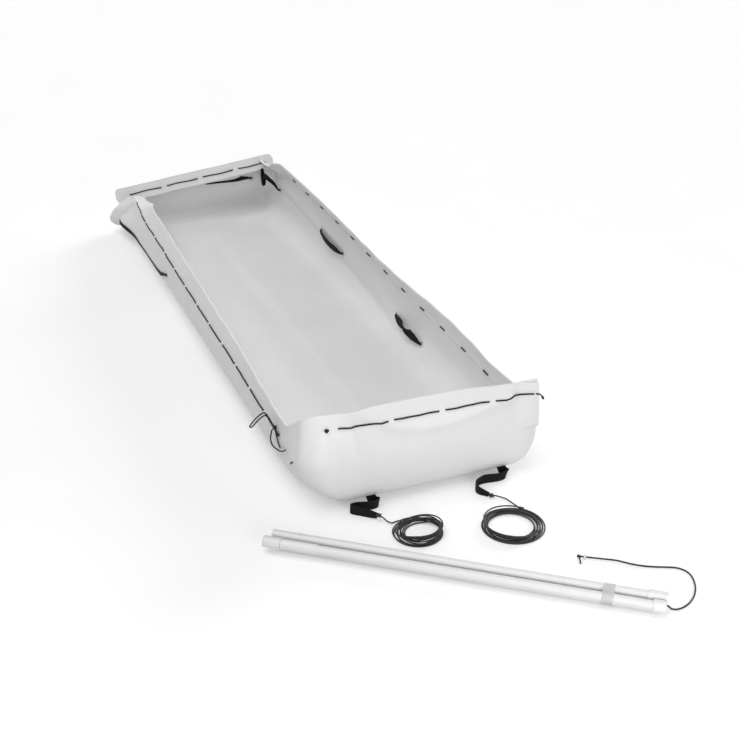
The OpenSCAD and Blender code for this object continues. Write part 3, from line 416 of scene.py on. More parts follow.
def braidLook(tree, dark, turnsAcross, pitch, sheen):
    # plaited cord: two sets of strands cross over each other round the cord, each a row of small humps
    parts = addNode(tree, "ShaderNodeSeparateXYZ", Vector=placeOf(tree, "UV"))
    along = mathOf(tree, "MULTIPLY", parts.outputs["X"], 2 * math.pi / pitch)
    around = mathOf(tree, "MULTIPLY", parts.outputs["Y"], 2 * math.pi * turnsAcross)
    one, two = (mathOf(tree, "SINE", mathOf(tree, way, along, around)) for way in ("ADD", "SUBTRACT"))
    lift = rescaled(tree, mathOf(tree, "MAXIMUM", one, two), fromLow=-1.0)
    wisp = noise(tree, placeOf(tree), 900.0, 3.0)
    # the colour follows the strands' height: painted shade in the hollows between them and painted light on their
    # crowns, with the fine noise of the fibres
    tone = mathOf(tree, "MULTIPLY", lift, wisp)
    colour = ramp(tree, tone, [(0.0, grey(dark * 0.45)), (0.8, grey(dark * 1.9, (1.0, 1.0, 1.04)))])
    sockets = {"Base Color": colour, "Roughness": 0.62, "Specular IOR Level": 0.3,
               "Sheen Weight": sheen, "Sheen Roughness": 0.5}
    return sockets, [(lift, 0.8, 0.0004), (wisp, 0.25, 0.0001)]


def webbingLook(tree):
    # plain weave: ribs across and warps along cross over, with a rolled edge
    parts = addNode(tree, "ShaderNodeSeparateXYZ", Vector=placeOf(tree, "UV"))
    weft = mathOf(tree, "MULTIPLY", parts.outputs["X"], 2 * math.pi / 0.0026)
    warp = mathOf(tree, "MULTIPLY", parts.outputs["Y"], 2 * math.pi / 0.0032)
    crossed = mathOf(tree, "MULTIPLY", mathOf(tree, "SINE", weft), mathOf(tree, "SINE", warp))
    ribs = mathOf(tree, "ADD", mathOf(tree, "MULTIPLY", crossed, 0.35), 0.5)
    edge = rescaled(tree, mathOf(tree, "ABSOLUTE", parts.outputs["Y"]), fromLow=0.0098, fromHigh=0.0118)
    wisp = noise(tree, placeOf(tree), 700.0, 3.0)
    # the colour follows the weave's height: painted shade where the threads dip under each other, with the fine noise
    # of the fibres
    tone = mathOf(tree, "MULTIPLY", ribs, wisp)
    colour = ramp(tree, tone, [(0.0, grey(0.004)), (0.6, grey(0.014, (1.0, 1.0, 1.05)))])
    # the colour is lighter towards both edges
    paleEdged = mixColour(tree, mathOf(tree, "MULTIPLY", edge, 0.5), colour, grey(0.022))
    sockets = {"Base Color": paleEdged, "Roughness": 0.6, "Specular IOR Level": 0.1}
    return sockets, [(ribs, 0.7, 0.0005), (wisp, 0.2, 0.0001)]


def alongPoles(tree, stretch):
    # object space turned so that its x runs with the poles, then stretched
    turned = addNode(tree, "ShaderNodeMapping", Vector=placeOf(tree), Rotation=(0, 0, math.radians(37.0)))
    return scaled(tree, turned.outputs["Vector"], stretch)


def pipeLook(tree):
    # extruded pipe: draw lines along the pole, a few rubbed places, soft gloss
    draw = noise(tree, alongPoles(tree, (1.5, 220.0, 220.0)), 3.0, 3.0)
    rub = noise(tree, alongPoles(tree, (9.0, 40.0, 40.0)), 2.0, 6.0, 0.7)
    base = ramp(tree, rub, [(0.35, grey(0.70)), (0.62, grey(0.67)), (0.75, grey(0.58))])
    sockets = {"Base Color": base, "Roughness": rescaled(tree, rub, 0.22, 0.50)}
    return sockets, [(draw, 0.12, 0.0004), (rub, 0.10, 0.0005)]


def fittingLook(tree):
    # moulded fittings: a touch whiter and smoother than the pipe, with a fine spark-eroded grain
    grain = noise(tree, placeOf(tree), 600.0, 2.0)
    cloud = noise(tree, placeOf(tree), 40.0, 4.0)
    base = ramp(tree, cloud, [(0.3, grey(0.73)), (0.7, grey(0.68))])
    return {"Base Color": base, "Roughness": rescaled(tree, cloud, 0.25, 0.42)}, [(grain, 0.12, 0.0002)]


def ringLook(tree):
    # plated brass rings with small dull spots
    spots = noise(tree, placeOf(tree), 260.0, 5.0, 0.65)
    base = ramp(tree, spots, [(0.35, grey(0.62, (1.0, 0.995, 0.98))), (0.7, grey(0.45))])
    sockets = {"Base Color": base, "Metallic": 1.0, "Roughness": rescaled(tree, spots, 0.18, 0.42)}
    return sockets, [(spots, 0.15, 0.0002)]


def filmLook(tree):
    # clear stretch band: thin see-through film with fine pull lines
    pull = noise(tree, alongPoles(tree, (260.0, 20.0, 20.0)), 2.0, 4.0)
    tone = ramp(tree, pull, [(0.35, grey(0.76)), (0.65, grey(0.68))])
    sockets = {"Base Color": tone, "Roughness": rescaled(tree, pull, 0.12, 0.35), "Alpha": 0.42}
    return sockets, [(pull, 0.4, 0.0004)]


sheetPlastic = makeMaterial("polytheneSheet", sheetLook)
# braids: darkness, strands round the cord, pitch in metres, sheen
laceBraid = makeMaterial("lacingBraid", braidLook, 0.010, 4, 0.0052, 0.03)
towBraid = makeMaterial("towLineBraid", braidLook, 0.026, 4, 0.0056, 0.08)
shockBraid = makeMaterial("shockCordBraid", braidLook, 0.018, 6, 0.0046, 0.04)
webbingWeave = makeMaterial("wovenWebbing", webbingLook)
pipePlastic = makeMaterial("polePipe", pipeLook)
fittingPlastic = makeMaterial("mouldedFitting", fittingLook)
ringMetal = makeMaterial("platedRing", ringLook)
bandFilm = makeMaterial("clearBand", filmLook)
print("materials made")

# tow lines: a lead from the strap's knot, then loose turns laid on each other
towLine = {
    "diameter": 3.4,
    "turns": 10,
    "pitch": 4.0,  # how far each turn lies inside the one before it
    "bare": 1.5 * 0.95,  # the line leaves its knot this many diameters from the knot's middle
    # each side: the coil's centre, radius, angle where the lead comes in, drift of its turns and seed;
    # then the knot's place, the way out of it and the points that the lead passes
    "left": {"centre": (-84.0, -1077.0), "radius": 60.0, "from": 106.0, "spread": (3.4, -1.6), "seed": 5,
             "knot": (-147.9, -1002.4, 17.0), "way": (16, -22, -6),
             "guide": [(-134.5, -1019, 8), (-124.5, -1023.5, 3.5)]},
    "right": {"centre": (136.0, -1135.0), "radius": 74.0, "from": 44.0, "spread": (-3.6, -0.8), "seed": 11,
              "knot": (142.8, -1011.1, 7.0), "way": (20, -13, 0), "guide": [(172, -1034, 3)]},
}


def coilPlan(v, at):
    # seen from above: radius shrinks by the pitch each turn, then grows back; the turns' centres wander
    per = 40
    t = np.arange(v["turns"] * per + 1) / per
    m = np.minimum(t, v["turns"] - t)
    wobble = np.random.default_rng(at["seed"]).uniform(-1, 1, (v["turns"] + 3, 3))
    drift = smoothPath(wobble, per)[:len(t)]
    away = ease(t / 0.8)[:, None]  # the first turn starts where the lead comes in
    r = at["radius"] - v["pitch"] * m + away[:, 0] * 2.2 * drift[:, 2]
    a = np.radians(at["from"] - 360 * t)
    mid = np.asarray(at["centre"]) + away * (np.asarray(at["spread"]) * m[:, None] * 0.55 + 1.8 * drift[:, :2])
    return mid + np.stack([r * np.cos(a), 0.94 * r * np.sin(a) + 0.06 * r * np.sin(a) * (1 - away[:, 0])], 1)


def layDown(plan, lead, diameter):
    # each point rests on the floor or on whatever earlier part lies under it, then the line is smoothed
    r = diameter / 2
    n = len(plan)
    gap = np.linalg.norm(plan[:, None] - plan[None], axis=2)
    order = np.arange(n)
    under = (order[None] < order[:, None] - 14) & (gap < 1.04 * diameter)
    rise = np.sqrt(np.maximum((1.04 * diameter) ** 2 - gap ** 2, 0))
    z = np.full(n, r)
    soft = np.exp(-0.5 * (np.arange(-6, 7) / 2.6) ** 2)
    for _ in range(26):
        need = np.where(under, z[None] + rise, r).max(1)
        need = np.maximum(need, r)
        padded = np.pad(need, 3, mode="edge")
        wide = np.max([padded[k:k + n] for k in range(7)], axis=0)
        z = np.convolve(np.pad(wide, 6, mode="edge"), soft / soft.sum(), "valid")
    z = np.maximum(z, r)
    z[0] = lead
    return np.column_stack([plan, z])


def unitOf(v):
    return unit(np.array(v, float))


def makeTowLine(v, side):
    at, diameter = v[side], v["diameter"]
    way = unitOf(at["way"])
    coil = layDown(coilPlan(v, at), diameter / 2, diameter)
    start = np.array(at["knot"]) + v["bare"] * diameter * way
    lead = [start, start + 7 * way, *at["guide"], coil[0] + 12 * unit(coil[0] - coil[3]), coil[0]]
    route = np.vstack([smoothPath(np.array(lead), 8)[:-1], coil])
    r = v["diameter"] / 2
    line = makeTube(side + "TowLine", route, r, "sled", towBraid, 9)
    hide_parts("tow_line_" + side, "tow_coil_" + side)


makeTowLine(towLine, "left")
makeTowLine(towLine, "right")

# shock cord with its bead and knot
shockCord = {
    "diameter": 4.0, "beadBore": 2.3, "beadWidth": 12.0, "beadHalf": 2.5, "beadBack": 6.5,
    "end": (218.0, -1303.0, 6.3), "way": (-68, 43, 0),  # where the run ends at the knot, and its way there
    "mouth": (21.6, 5.05, 1146),  # of the tube: across the bundle, height, along the poles
    "lying": [(303, -1534, 3.6), (322, -1536, 2.2), (342, -1531, 2.2), (362, -1520, 2.2), (380, -1505, 2.2),
              (395, -1486, 2.2), (406, -1464, 2.2), (411, -1442, 2.2), (406, -1423, 2.2), (393, -1410, 2.2),
              (374, -1401, 2.2), (352, -1391, 2.2), (334, -1381, 2.2), (314, -1368, 3.0), (296, -1354, 4.8)],
    "tail": [(-4.5, -0.5, -0.4), (-7.1, -3, -1.5), (-9, -8, -3), (-12, -16, -4.2)],  # from the run's end
    "inside": (1136, 896, 596, 336),  # stations of the run inside its tube
}
poleAngle = math.radians(-37.0)
poleDir = np.array([math.cos(poleAngle), math.sin(poleAngle), 0.0])
poleSide = np.array([-math.sin(poleAngle), math.cos(poleAngle), 0.0])


def polePoint(across, height, s):
    return poleDir * s + poleSide * (-1056 + across) + np.array([0, 0, height])


def makeBead(v, end, way):
    # a turned ring with rounded rims, its bore just clear of the cord; superellipse section, power 0.55
    mid, half = (v["beadBore"] + v["beadWidth"] / 2) / 2, (v["beadWidth"] / 2 - v["beadBore"]) / 2
    a = np.linspace(0, 2 * np.pi, 25)[:-1]
    bent = lambda c: np.sign(c) * np.abs(c) ** 0.55
    profile = np.stack([mid + half * bent(np.cos(a)), v["beadHalf"] * bent(np.sin(a))], 1)
    turn = np.linspace(0, 2 * np.pi, 41)[:-1, None]
    radial = np.cos(turn) * np.array([-way[1], way[0], 0]) + np.sin(turn) * np.array([0, 0, 1.0])
    rings = end - v["beadBack"] * way + profile[None, :, 0:1] * radial[:, None, :] + profile[None, :, 1:2] * way
    quads = gridQuads(41, 24, True)[0] % (40 * 24)
    bead = fixNormals(putMesh("cordBead", rings.reshape(-1, 3), [quads], "bead", fittingPlastic))
    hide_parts("cord_bead")
    return bead


def makeShockCord(v):
    end, way = np.array(v["end"]), unitOf(v["way"])
    leave = polePoint(*v["mouth"])
    last = [end - k * way for k in (76, 50, 25, 0)]
    route = even(smoothPath(np.array([leave - 2 * poleDir, leave + 8 * poleDir, *v["lying"], *last]), 6), 40)
    cord = makeTube("shockCordRun", route, v["diameter"] / 2, "pole_bundle", shockBraid, 12)
    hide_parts("shock_cord")
    bead = makeBead(v, end, way)
    # knot: an overhand bight, with the tail that hangs from it
    middle = end + 6.2 * way
    knot = overhand(middle, way, 1.25)
    tail = smoothPath(end + np.array(v["tail"]), 6)
    neck = end + np.array([-0.5, 2.5, 4.5])[:, None] * way
    tied = makeTubes("shockCordKnot", [knot, tail, neck], 1.75, "pole_bundle", shockBraid, 10,
                     [unit(knot - middle + 1e-6), (0, 0, 1), (0, 0, 1)])
    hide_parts("cord_knot")


def makeInnerCord(v):
    # the run that lies inside its tube
    inner = np.array([polePoint(*v["mouth"][:2], s) for s in v["inside"]])
    innerCord = makeTube("shockCordInside", refine(inner, 40.0), 2.0, "pole_bundle", shockBraid, 10)
    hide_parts("shock_cord_inner")


def overhand(centre, axis, size):
    # trefoil: (sin t + 2 sin 2t, cos t - 2 cos 2t, -sin 3t), its flat side turned along the axis
    t = np.linspace(0.35, 2 * np.pi - 0.35 + 0.62, 46)
    k = np.stack([np.sin(t) + 2 * np.sin(2 * t), np.cos(t) - 2 * np.cos(2 * t), -1.35 * np.sin(3 * t)], 1) * size
    axis = unit(np.asarray(axis, float))
    side = unit(np.cross(axis, (0.13, 0.21, 0.97)))
    up = np.cross(side, axis)
    return np.asarray(centre) + 0.9 * k[:, 0:1] * axis + k[:, 1:2] * side + k[:, 2:3] * up


def refine(points, step):
    # extra points along the long spans
    s = distances(points)
    t = np.unique(np.concatenate([s, np.arange(0, s[-1], step)]).round(3))
    return np.stack([np.interp(t, s, points[:, k]) for k in range(points.shape[1])], 1)


makeShockCord(shockCord)

# the sheet: one form for the tub, and one field of waves and dents for everything that lies on it
tub = {
    "thick": 2.0,
    "floorHalf": 212.0, "floorFront": -818.0, "floorRear": 899.0, "floorCorner": 12.0,
    # the side walls: y of their ends, then half width, height of the bend, of the lacing and lean of the rim there
    "wallFront": -895.0, "wallRear": 905.0,
    "wallHalf": (312.0, 278.0), "bendHeight": (100.0, 66.0), "laceHeight": (138.0, 168.0), "rimLean": (4.0, 30.0),
    "rim": 52.0, "leftRimMore": 50.0,
    "nose": -955.0, "tail": 955.0, "frontCorner": 60.0, "rearCorner": 50.0,
    # sections: reach of the bend, its height, lacing height, lean-in, rim, rim lean in degrees, squareness
    "frontSection": (137.0, 137.0, 228.0, 16.0, 42.0, 10.0, 0.6),
    "rearSection": (56.0, 56.0, 178.0, 14.0, 16.0, 0.0, 0.6),
    "lowRim": 20.0, "lowTop": 161.0,  # of the rear corners, under the band
}
rimWave = {"pitch": 125.0, "depth": 1.0, "wander": 1.5, "firstGap": -657.5}
frontWave = {"pitch": 131.25, "middle": 34.0}
# how the sheet has slumped at its left rear
askew = {"from": 560.0, "length": 345.0, "down": 38.0, "inward": 30.0, "roll": 0.114, "bulge": 36.0, "over": 76.0}
grommetPlaces = [(288.3, 300, 85.4), (284.6, 480, 98.0), (287.5, -300, 44.2), (290.6, -120, 56.6), (277, 868, 104),
                 (-294, 318, 94), (194, 949, 131)]
slotPlaces = [(-136, -905, 24), (214, -905, 24)]


def along(y):
    # share of the way from the front end of the side walls to their rear end
    return (y - tub["wallFront"]) / (tub["wallRear"] - tub["wallFront"])


def slump(y):
    return ease((y - askew["from"]) / askew["length"])


def leanIn(t):
    # share of a wall's lean-in that is reached at the share t of its height
    return 0.4 * t + 0.6 * t ** 2


def sideSection(y, sx=1):
    # the side walls' section, its rim lean in radians; at the back the left rim is shorter and folded right over
    y = np.asarray(y, float)
    t = along(y)
    over, rim = 20 * ease((y + 500) / 500), tub["rim"] + 0 * t
    if sx < 0:
        over, rim = askew["over"] * slump(y), rim - 9 * ease((-300 - y) / 500) - 10 * slump(y)
    half, bend, lace, lean = (mixOf(*tub[k], t) for k in ("wallHalf", "bendHeight", "laceHeight", "rimLean"))
    return np.stack([half - tub["floorHalf"], bend, lace, 3 * t, rim, np.radians(lean + over), 1 + 0 * t], -1)


def laceHeight(p):
    # height of the lacing line all round, blended at the corners
    y = p[..., 1]
    front = ease((tub["wallFront"] - y) / tub["frontCorner"])
    rear = ease((y - tub["wallRear"]) / tub["rearCorner"])
    side = mixOf(*tub["laceHeight"], along(y))
    return mixOf(mixOf(side, tub["frontSection"][2], front), tub["rearSection"][2], rear)


def settle(points):
    # as it lies, the sheet is askew at the back: the rear band is rolled, its left end low,
    # and the left wall leans in and sinks towards it
    p = np.asarray(points, float).copy()
    x, y, z = p[..., 0], p[..., 1], p[..., 2]
    rear = ease((y - 905) / 26)
    share = slump(y) * (1 - rear) * ease((-120 - x) / 90)
    # the right wall stands taller towards the back, and dips before its rear corner and its front end
    lift = 36 * ease((y + 500) / 1100) * (1 - ease((y - 745) / 160)) - 9 * bell(y + 640, 170)
    lift = lift - 10 * ease((y - 830) / 60) * (1 - ease((y - 916) / 12))
    lift = lift - 13 * ease((-560 - y) / 160) * (1 - ease((-815 - y) / 55))
    p[..., 2] += ease((x - 120) / 60) * lift * np.clip(z / 190, 0, 1.2) ** 2
    # the rear band leans back over a hollow wall
    p[..., 1] += rear * 0.75 * np.clip(z - 160, 0, 60)
    p[..., 1] += ease((y - 880) / 50) * (26 + 0.10 * x) * bell(z - 40, 46) * ease(z / 14) * ease((150 - z) / 60)
    # the nose's right end droops, and the gathered rim at the left front corner stays level
    p[..., 2] -= 11 * ease((-880 - y) / 40) * ease((x - 40) / 200) * ease((z - 236) / 28)
    p[..., 2] += 23 * np.exp(-((x + 303) / 27) ** 2 - ((y + 913) / 33) ** 2) * ease((z - 180) / 45)
    # a soft fold runs from the right rear corner over the floor
    run = np.clip(((236 - x) * 0.91 + (925 - y) * 0.415) / 127, 0, 1)
    aside = (236 - x) * -0.415 + (925 - y) * 0.91
    p[..., 2] += 9 * bell(aside, 20) * np.sin(np.pi * run) * ease((30 - z) / 20)
    # the slump itself
    roll = askew["roll"] * (278 - x) - 4
    p[..., 0] += askew["inward"] * share * np.clip((z - 60) / 110, 0, 1.1)
    p[..., 2] -= askew["down"] * share * np.clip(z / 200, 0, 1.2)
    p[..., 2] -= rear * np.where(z > 120, roll, roll * np.clip(z / 120, 0, 1))
    return p


def ripple(points):
    # everything that moves the sheet along its outward direction, fading near grommets and slots; then settle
    p = np.asarray(points, float)
    core = np.stack([np.clip(p[..., 0], -236, 236), np.clip(p[..., 1], -830, 850)], -1)
    out = p[..., :2] - core
    far = np.linalg.norm(out, axis=-1, keepdims=True)
    out = out / np.maximum(far, 1e-6) * ease(far / 25)
    x, y, z = p[..., 0], p[..., 1], p[..., 2]
    left = np.where(x < 0, 1.0, 0.0)
    front, rear = ease((-860 - y) / 60), ease((y - 890) / 40)
    side = (1 - front) * (1 - rear)
    # the rim waves between its stitches
    wave = side * -np.cos(2 * np.pi * (y - rimWave["firstGap"]) / rimWave["pitch"])
    wave += 0.7 * front * np.cos(2 * np.pi * (x - frontWave["middle"]) / frontWave["pitch"])
    move = rimWave["depth"] * wave * ease((z - laceHeight(p) + 26) / 60)
    # a slow wander of the walls: three sines along their length
    slow = np.sin(y / 143 + 1.3 * left) + 0.7 * np.sin(y / 61 + 2.2 + 2.4 * left) + 0.35 * np.sin(y / 27 + 4.0 * left)
    move += rimWave["wander"] * side * ease((z - 20) / 130) * slow * 0.5
    move += 0.9 * front * ease((z - 60) / 100) * np.sin(x / 47 + 0.6)
    # a shallow channel where the webbing presses the right wall, and a groove below it
    web, right = webHeight(1, y), (1 - left) * side
    move -= (3.0 + 2.5 * ease((y - 250) / 200)) * right * np.exp(-((z - web) / 19) ** 4) * ease((y + 420) / 60)
    move += 5.0 * right * bell(z - web + 27, 9) * ease((y + 640) / 120)
    # nose: sagging ridge under the lacing and two creases
    ridge = 198 + np.where(x < 0, 0.0020, 0.0008) * (x - 5) ** 2
    move += front * ease((236 - np.abs(x)) / 30) * 12.0 * np.exp(-np.abs(z - ridge) / 14)
    line = -213 + (296 - z) * 0.22
    move += front * 6.5 * np.exp(-np.abs(x - line) / 13) * ease((z - 80) / 60)
    line = 219 + (z - 245) * 0.3
    move += front * 3.0 * np.exp(-np.abs(x - line) / 12) * ease((z - 200) / 40)
    # left front corner: diagonal folds of the gathered sheet
    bag = np.exp(-((x + 300) / 48) ** 2 - ((y + 905) / 62) ** 2)
    folds = 1.8 * np.sin((y - 0.7 * x + 1.1 * z) / 30) * ease((z - 30) / 60) + 4.0 * bell(z - 120, 50)
    move += bag * ease((230 - z) / 60) * folds
    # left rear: the wall bellies out where the surplus is folded
    move += left * askew["bulge"] * ease((y - 740) / 165) * (1 - rear) * bell(z - 85, 36)
    # rear wall: a dent beside the strap, and a slow wave
    move -= rear * 2.4 * bell(x - 205, 12) * ease((z - 10) / 30) * ease((170 - z) / 40)
    move += rear * 1.6 * np.sin(x / 38 + 1.0) * ease((z - 20) / 60) * ease((176 - z) / 20)
    calm = np.ones(p.shape[:-1])
    for places, weights, width in ((grommetPlaces, (1, 1, 1), 30), (slotPlaces, (0.7, 1, 1), 42)):
        for place in places:
            calm = calm * (1 - bell(np.linalg.norm((p - np.array(place)) * weights, axis=-1), width))
    moved = p.copy()
    moved[..., :2] += out * (move * calm)[..., None]
    # the lower left front corner is drawn in, as the sheet tapers there to its fold
    pull = np.exp(-((x + 275) / 62) ** 2 - ((y + 905) / 78) ** 2) * ease((165 - z) / 140) * calm
    moved[..., 0] += 34 * pull
    moved[..., 1] += 22 * pull
    return settle(moved)


def webHeight(sx, y):
    # height of the lash webbing on the side walls
    if sx > 0:
        return 52 + (y + 180) * 46 / 660
    return np.interp(y, [318, 350, 400, 440, 500, 600, 700, 800, 890], [94, 84, 62, 52, 45, 42, 44, 56, 70])


def cornerColumns(v, turn, sx, sy, a, b, holdA=0.0, holdB=0.0):
    # columns round one corner, from the angle turn on: floor circle, wall circle, outward direction and
    # section, which goes from a to b but holds them for a share of the turn
    fan = np.arange(1, 18) / 18
    angle = np.radians(turn + 90 * fan)
    d = np.stack([np.cos(angle), np.sin(angle)], 1)
    s = mixOf(a[None], b[None], ease(np.clip((fan - holdA) / (1 - holdA - holdB), 0, 1))[:, None])
    half, radius, end, edge = v["wallHalf"][0], v["frontCorner"], v["wallFront"], v["floorFront"]
    if sy > 0:
        half, radius, end, edge = v["wallHalf"][1], v["rearCorner"], v["wallRear"], v["floorRear"]
        # the rear corners are sunk under the band, most of all in the middle of their turn
        toward = fan if sx > 0 else 1 - fan
        sunk = ease((toward - 0.1) / 0.18) * ease((0.97 - toward) / 0.16)
        low, zero = v["lowRim"], 0 * fan
        flat = np.stack([s[:, 0], s[:, 1], v["lowTop"] - low + zero, zero, low + zero, zero, s[:, 6]], 1)
        s = mixOf(s, flat, sunk[:, None])
    r = v["floorCorner"]
    floor, wall = np.array([sx * (v["floorHalf"] - r), edge - sy * r]), np.array([sx * (half - radius), end])
    return [floor + r * d, wall + radius * d, d, s]


def tubColumns(v):
    # anticlockwise from the front of the right wall, as floor point, wall point, outward direction, section
    front, rear = (np.array([*s[:5], math.radians(s[5]), s[6]]) for s in (v["frontSection"], v["rearSection"]))
    y = np.linspace(v["wallFront"], v["wallRear"], 121)
    t = along(y)
    x = np.linspace(1, -1, 49)

    def wall(sx):
        s = sideSection(y, sx)
        if sx < 0:
            s[:, 4] += v["leftRimMore"] * ease((-790 - y) / 105)  # the left rim stays high as it nears the front
        floorY = mixOf(v["floorFront"] + v["floorCorner"], v["floorRear"] - v["floorCorner"], t)
        group = (np.stack([sx * v["floorHalf"] + 0 * y, floorY], 1), np.stack([sx * mixOf(*v["wallHalf"], t), y], 1),
                 np.stack([sx + 0 * y, 0 * y], 1), s)
        return [g[::sx] for g in group]

    def end(sy):
        section, edge, wallY, half = front, v["floorFront"], v["nose"], v["wallHalf"][0] - v["frontCorner"]
        if sy > 0:
            section, edge, wallY, half = rear, v["floorRear"], v["tail"], v["wallHalf"][1] - v["rearCorner"]
        zero = 0 * x
        floor = np.stack([(v["floorHalf"] - v["floorCorner"]) * x, edge + zero], 1)
        group = (floor, np.stack([half * x, wallY + zero], 1), np.stack([zero, sy + zero], 1),
                 np.repeat(section[None], len(x), 0))
        return [g[::sy] for g in group]

    ends = np.array([v["wallFront"], v["wallRear"]])
    (a, b), (aLeft, bLeft) = sideSection(ends), sideSection(ends, -1)
    aLeft[4] += v["leftRimMore"]
    groups = [wall(1), cornerColumns(v, 0, 1, 1, b, rear), end(1), cornerColumns(v, 90, -1, 1, rear, bLeft),
              wall(-1), cornerColumns(v, 180, -1, -1, aLeft, front, 0.0, 0.2), end(-1),
              cornerColumns(v, 270, 1, -1, front, a, 0.2, 0.0)]
    return [np.vstack([g[k] for g in groups]) for k in range(4)]


def tubFace(columns, inset):
    # rows from the middle of the floor out to its edge, up the bend, up the wall and up the rim
    floor, wall, d, s = columns
    s = [s[:, k][:, None] for k in range(7)]
    spine = np.stack([0 * floor[:, 0], np.clip(floor[:, 1], -758, 839)], 1)
    u = (np.arange(9) / 9)[None, :]
    flat = spine[:, None] + (floor - spine)[:, None] * u[..., None]
    flat = np.concatenate([flat, np.full((len(floor), 9, 1), float(inset))], 2)
    a = np.linspace(0, np.pi / 2, 15)[None]
    reach = (wall - inset * d - floor)[:, None] * (np.sin(a) ** s[6])[..., None]
    height = inset + (s[1] - inset) * (1 - np.maximum(np.cos(a), 0) ** s[6])
    bend = np.concatenate([floor[:, None] + reach, height[..., None]], 2)
    t = (np.arange(1, 12) / 11)[None]
    lean, half = s[5], s[5] / 2
    off = -s[3] * leanIn(t) - inset * mixOf(1.0, np.cos(half), t)
    up = s[1] + (s[2] - s[1]) * t - inset * np.sin(half) * t
    q = np.array([0.05, 0.12, 0.25, 0.4, 0.55, 0.7, 0.85, 0.95, 1.0])[None]
    turned = np.clip(q * 5, 0, 1)
    offRim = -s[3] - s[4] * np.sin(lean) * q - inset * mixOf(np.cos(half), np.cos(lean), turned)
    upRim = s[2] + s[4] * np.cos(lean) * q - inset * mixOf(np.sin(half), np.sin(lean), turned)
    off, up = np.hstack([off, offRim]), np.hstack([up, upRim])
    rise = np.concatenate([wall[:, None] + off[..., None] * d[:, None], up[..., None]], 2)
    return np.concatenate([flat, bend, rise], 1)


def sheetParts(outer, inner, closed=False):
    # the outer and inner faces of a sheet as two grids, joined along their free edges
    m, n = outer.shape[:2]
    base = m * n
    quads, _ = gridQuads(n, m, closed)
    quads = (quads % m) * n + quads // m
    i = np.arange(m if closed else m - 1)
    j = (i + 1) % m
    rows = [quads, quads[:, ::-1] + base]
    for k, flip in (((n - 1), 1), (0, -1)):
        rows.append(np.stack([i * n + k, j * n + k, base + j * n + k, base + i * n + k], 1)[:, ::flip])
    if not closed:
        k = np.arange(n - 1)
        for row, flip in ((0, 1), ((m - 1), -1)):
            low = row * n + k
            rows.append(np.stack([low, low + 1, base + low + 1, base + low], 1)[:, ::flip])
    return np.vstack([outer.reshape(-1, 3), inner.reshape(-1, 3)]), [np.vstack(rows)]


def foldMark(p):
    # pale stress lines: along the lacing line, and on the creases of the gathered corners
    line = bell(p[..., 2] - laceHeight(p), 5) * 0.7
    bag = np.exp(-((p[..., 0] + 300) / 55) ** 2 - ((p[..., 1] + 905) / 70) ** 2)
    return np.clip(line + bag * 0.6, 0, 1)


def makeSheet(name, outer, inner, node, closed=False, field=ripple, marks=foldMark):
    # two faces carried by a field of bends; a closed sheet is welded where its floor comes together
    points, faces = sheetParts(field(outer), field(inner), closed)
    if closed:
        points[:, 2] = np.maximum(points[:, 2], 0)
    piece = fixNormals(putMesh(name, points, faces, "sled", sheetPlastic, fold=marks(points)), closed)
    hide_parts(node)


columns = tubColumns(tub)
makeSheet("tubSheet", tubFace(columns, 0.0), tubFace(columns, tub["thick"]), "hull_sheet", True)
print("tub made")


# layers folded over the rims
def sideLace(sx, y, off):
    s = sideSection(y, sx)
    a = np.pi / 2 + s[..., 5] / 2
    x = sx * (tub["floorHalf"] + s[..., 0] - s[..., 3] + off * np.sin(a))
    return np.stack([x, y + 0 * x, s[..., 2] - off * np.cos(a)], -1)


def endLace(x, off):
    a = math.radians(90 + tub["frontSection"][5] / 2)
    x = np.asarray(x, float)
    y = tub["nose"] + tub["frontSection"][3] - off * math.sin(a)
    return np.stack([x, y + 0 * x, tub["frontSection"][2] - off * math.cos(a) + 0 * x], -1)


def makeSideHem(sx, side):
    last = [905, 912, 920, 927, 932.6] if sx > 0 else [905, 908]
    y = np.concatenate([np.linspace(-895, 890, 120), last])
    s = sideSection(np.minimum(y, 905), sx)
    inward = np.where(y > 905, 8 * ease((y - 905) / 28), 0) * -sx
    rows = np.array([-9, -6.3, -3.6, -1.35, 0, 0.05, 0.15, 0.3, 0.5, 0.7, 0.85, 0.97, 1.0])
    wavy = 1.6 * np.sin(y / 34 + sx) + 1.1 * np.sin(y / 13.0)
    low, high = np.minimum(rows, 0)[None], np.maximum(rows, 0)[None] * (s[:, 4:5] - 1)
    grids = []
    for off in (-2.2, -4.1):
        l = sideLace(sx, y, off)
        x = l[:, 0:1] + inward[:, None] - sx * np.sin(s[:, 5:6]) * high
        z = l[:, 2:3] + np.cos(s[:, 5:6]) * high + low + wavy[:, None] * (low < -8) * 0.8
        grids.append(np.stack([x, np.repeat(y[:, None], len(rows), 1), z], 2))
    makeSheet(side + "Hem", *grids, "side_hem_" + side)


def makeFrontHem():
    x = np.linspace(-252, 291, 90)
    rows = np.concatenate([-9 * np.array([1, 0.6, 0.2]), 41 * np.array([0, 0.06, 0.2, 0.4, 0.6, 0.8, 0.95, 1.0])])
    lean = math.radians(tub["frontSection"][5])
    high, low = np.maximum(rows, 0)[None], np.minimum(rows, 0)[None]
    grids = []
    for off in (-2.1, -4.1):
        l = endLace(x, off)
        y, z = l[:, 1:2] + math.sin(lean) * high, l[:, 2:3] + math.cos(lean) * high + low
        grids.append(np.stack([np.repeat(x[:, None], len(rows), 1), y, z], 2))
    makeSheet("frontHem", *grids, "front_hem")


def frontWall(x, z, off):
    # the front panel's outer face above its bend, carried on straight past the corner
    _, bend, lace, lean, _, rimLean, _ = tub["frontSection"]
    t = np.clip((z - bend) / (lace - bend), 0, 1)
    rim = np.clip(z - lace, 0, None) * math.tan(math.radians(rimLean))
    return np.stack([x, tub["nose"] + lean * leanIn(t) + rim - off, z], -1)


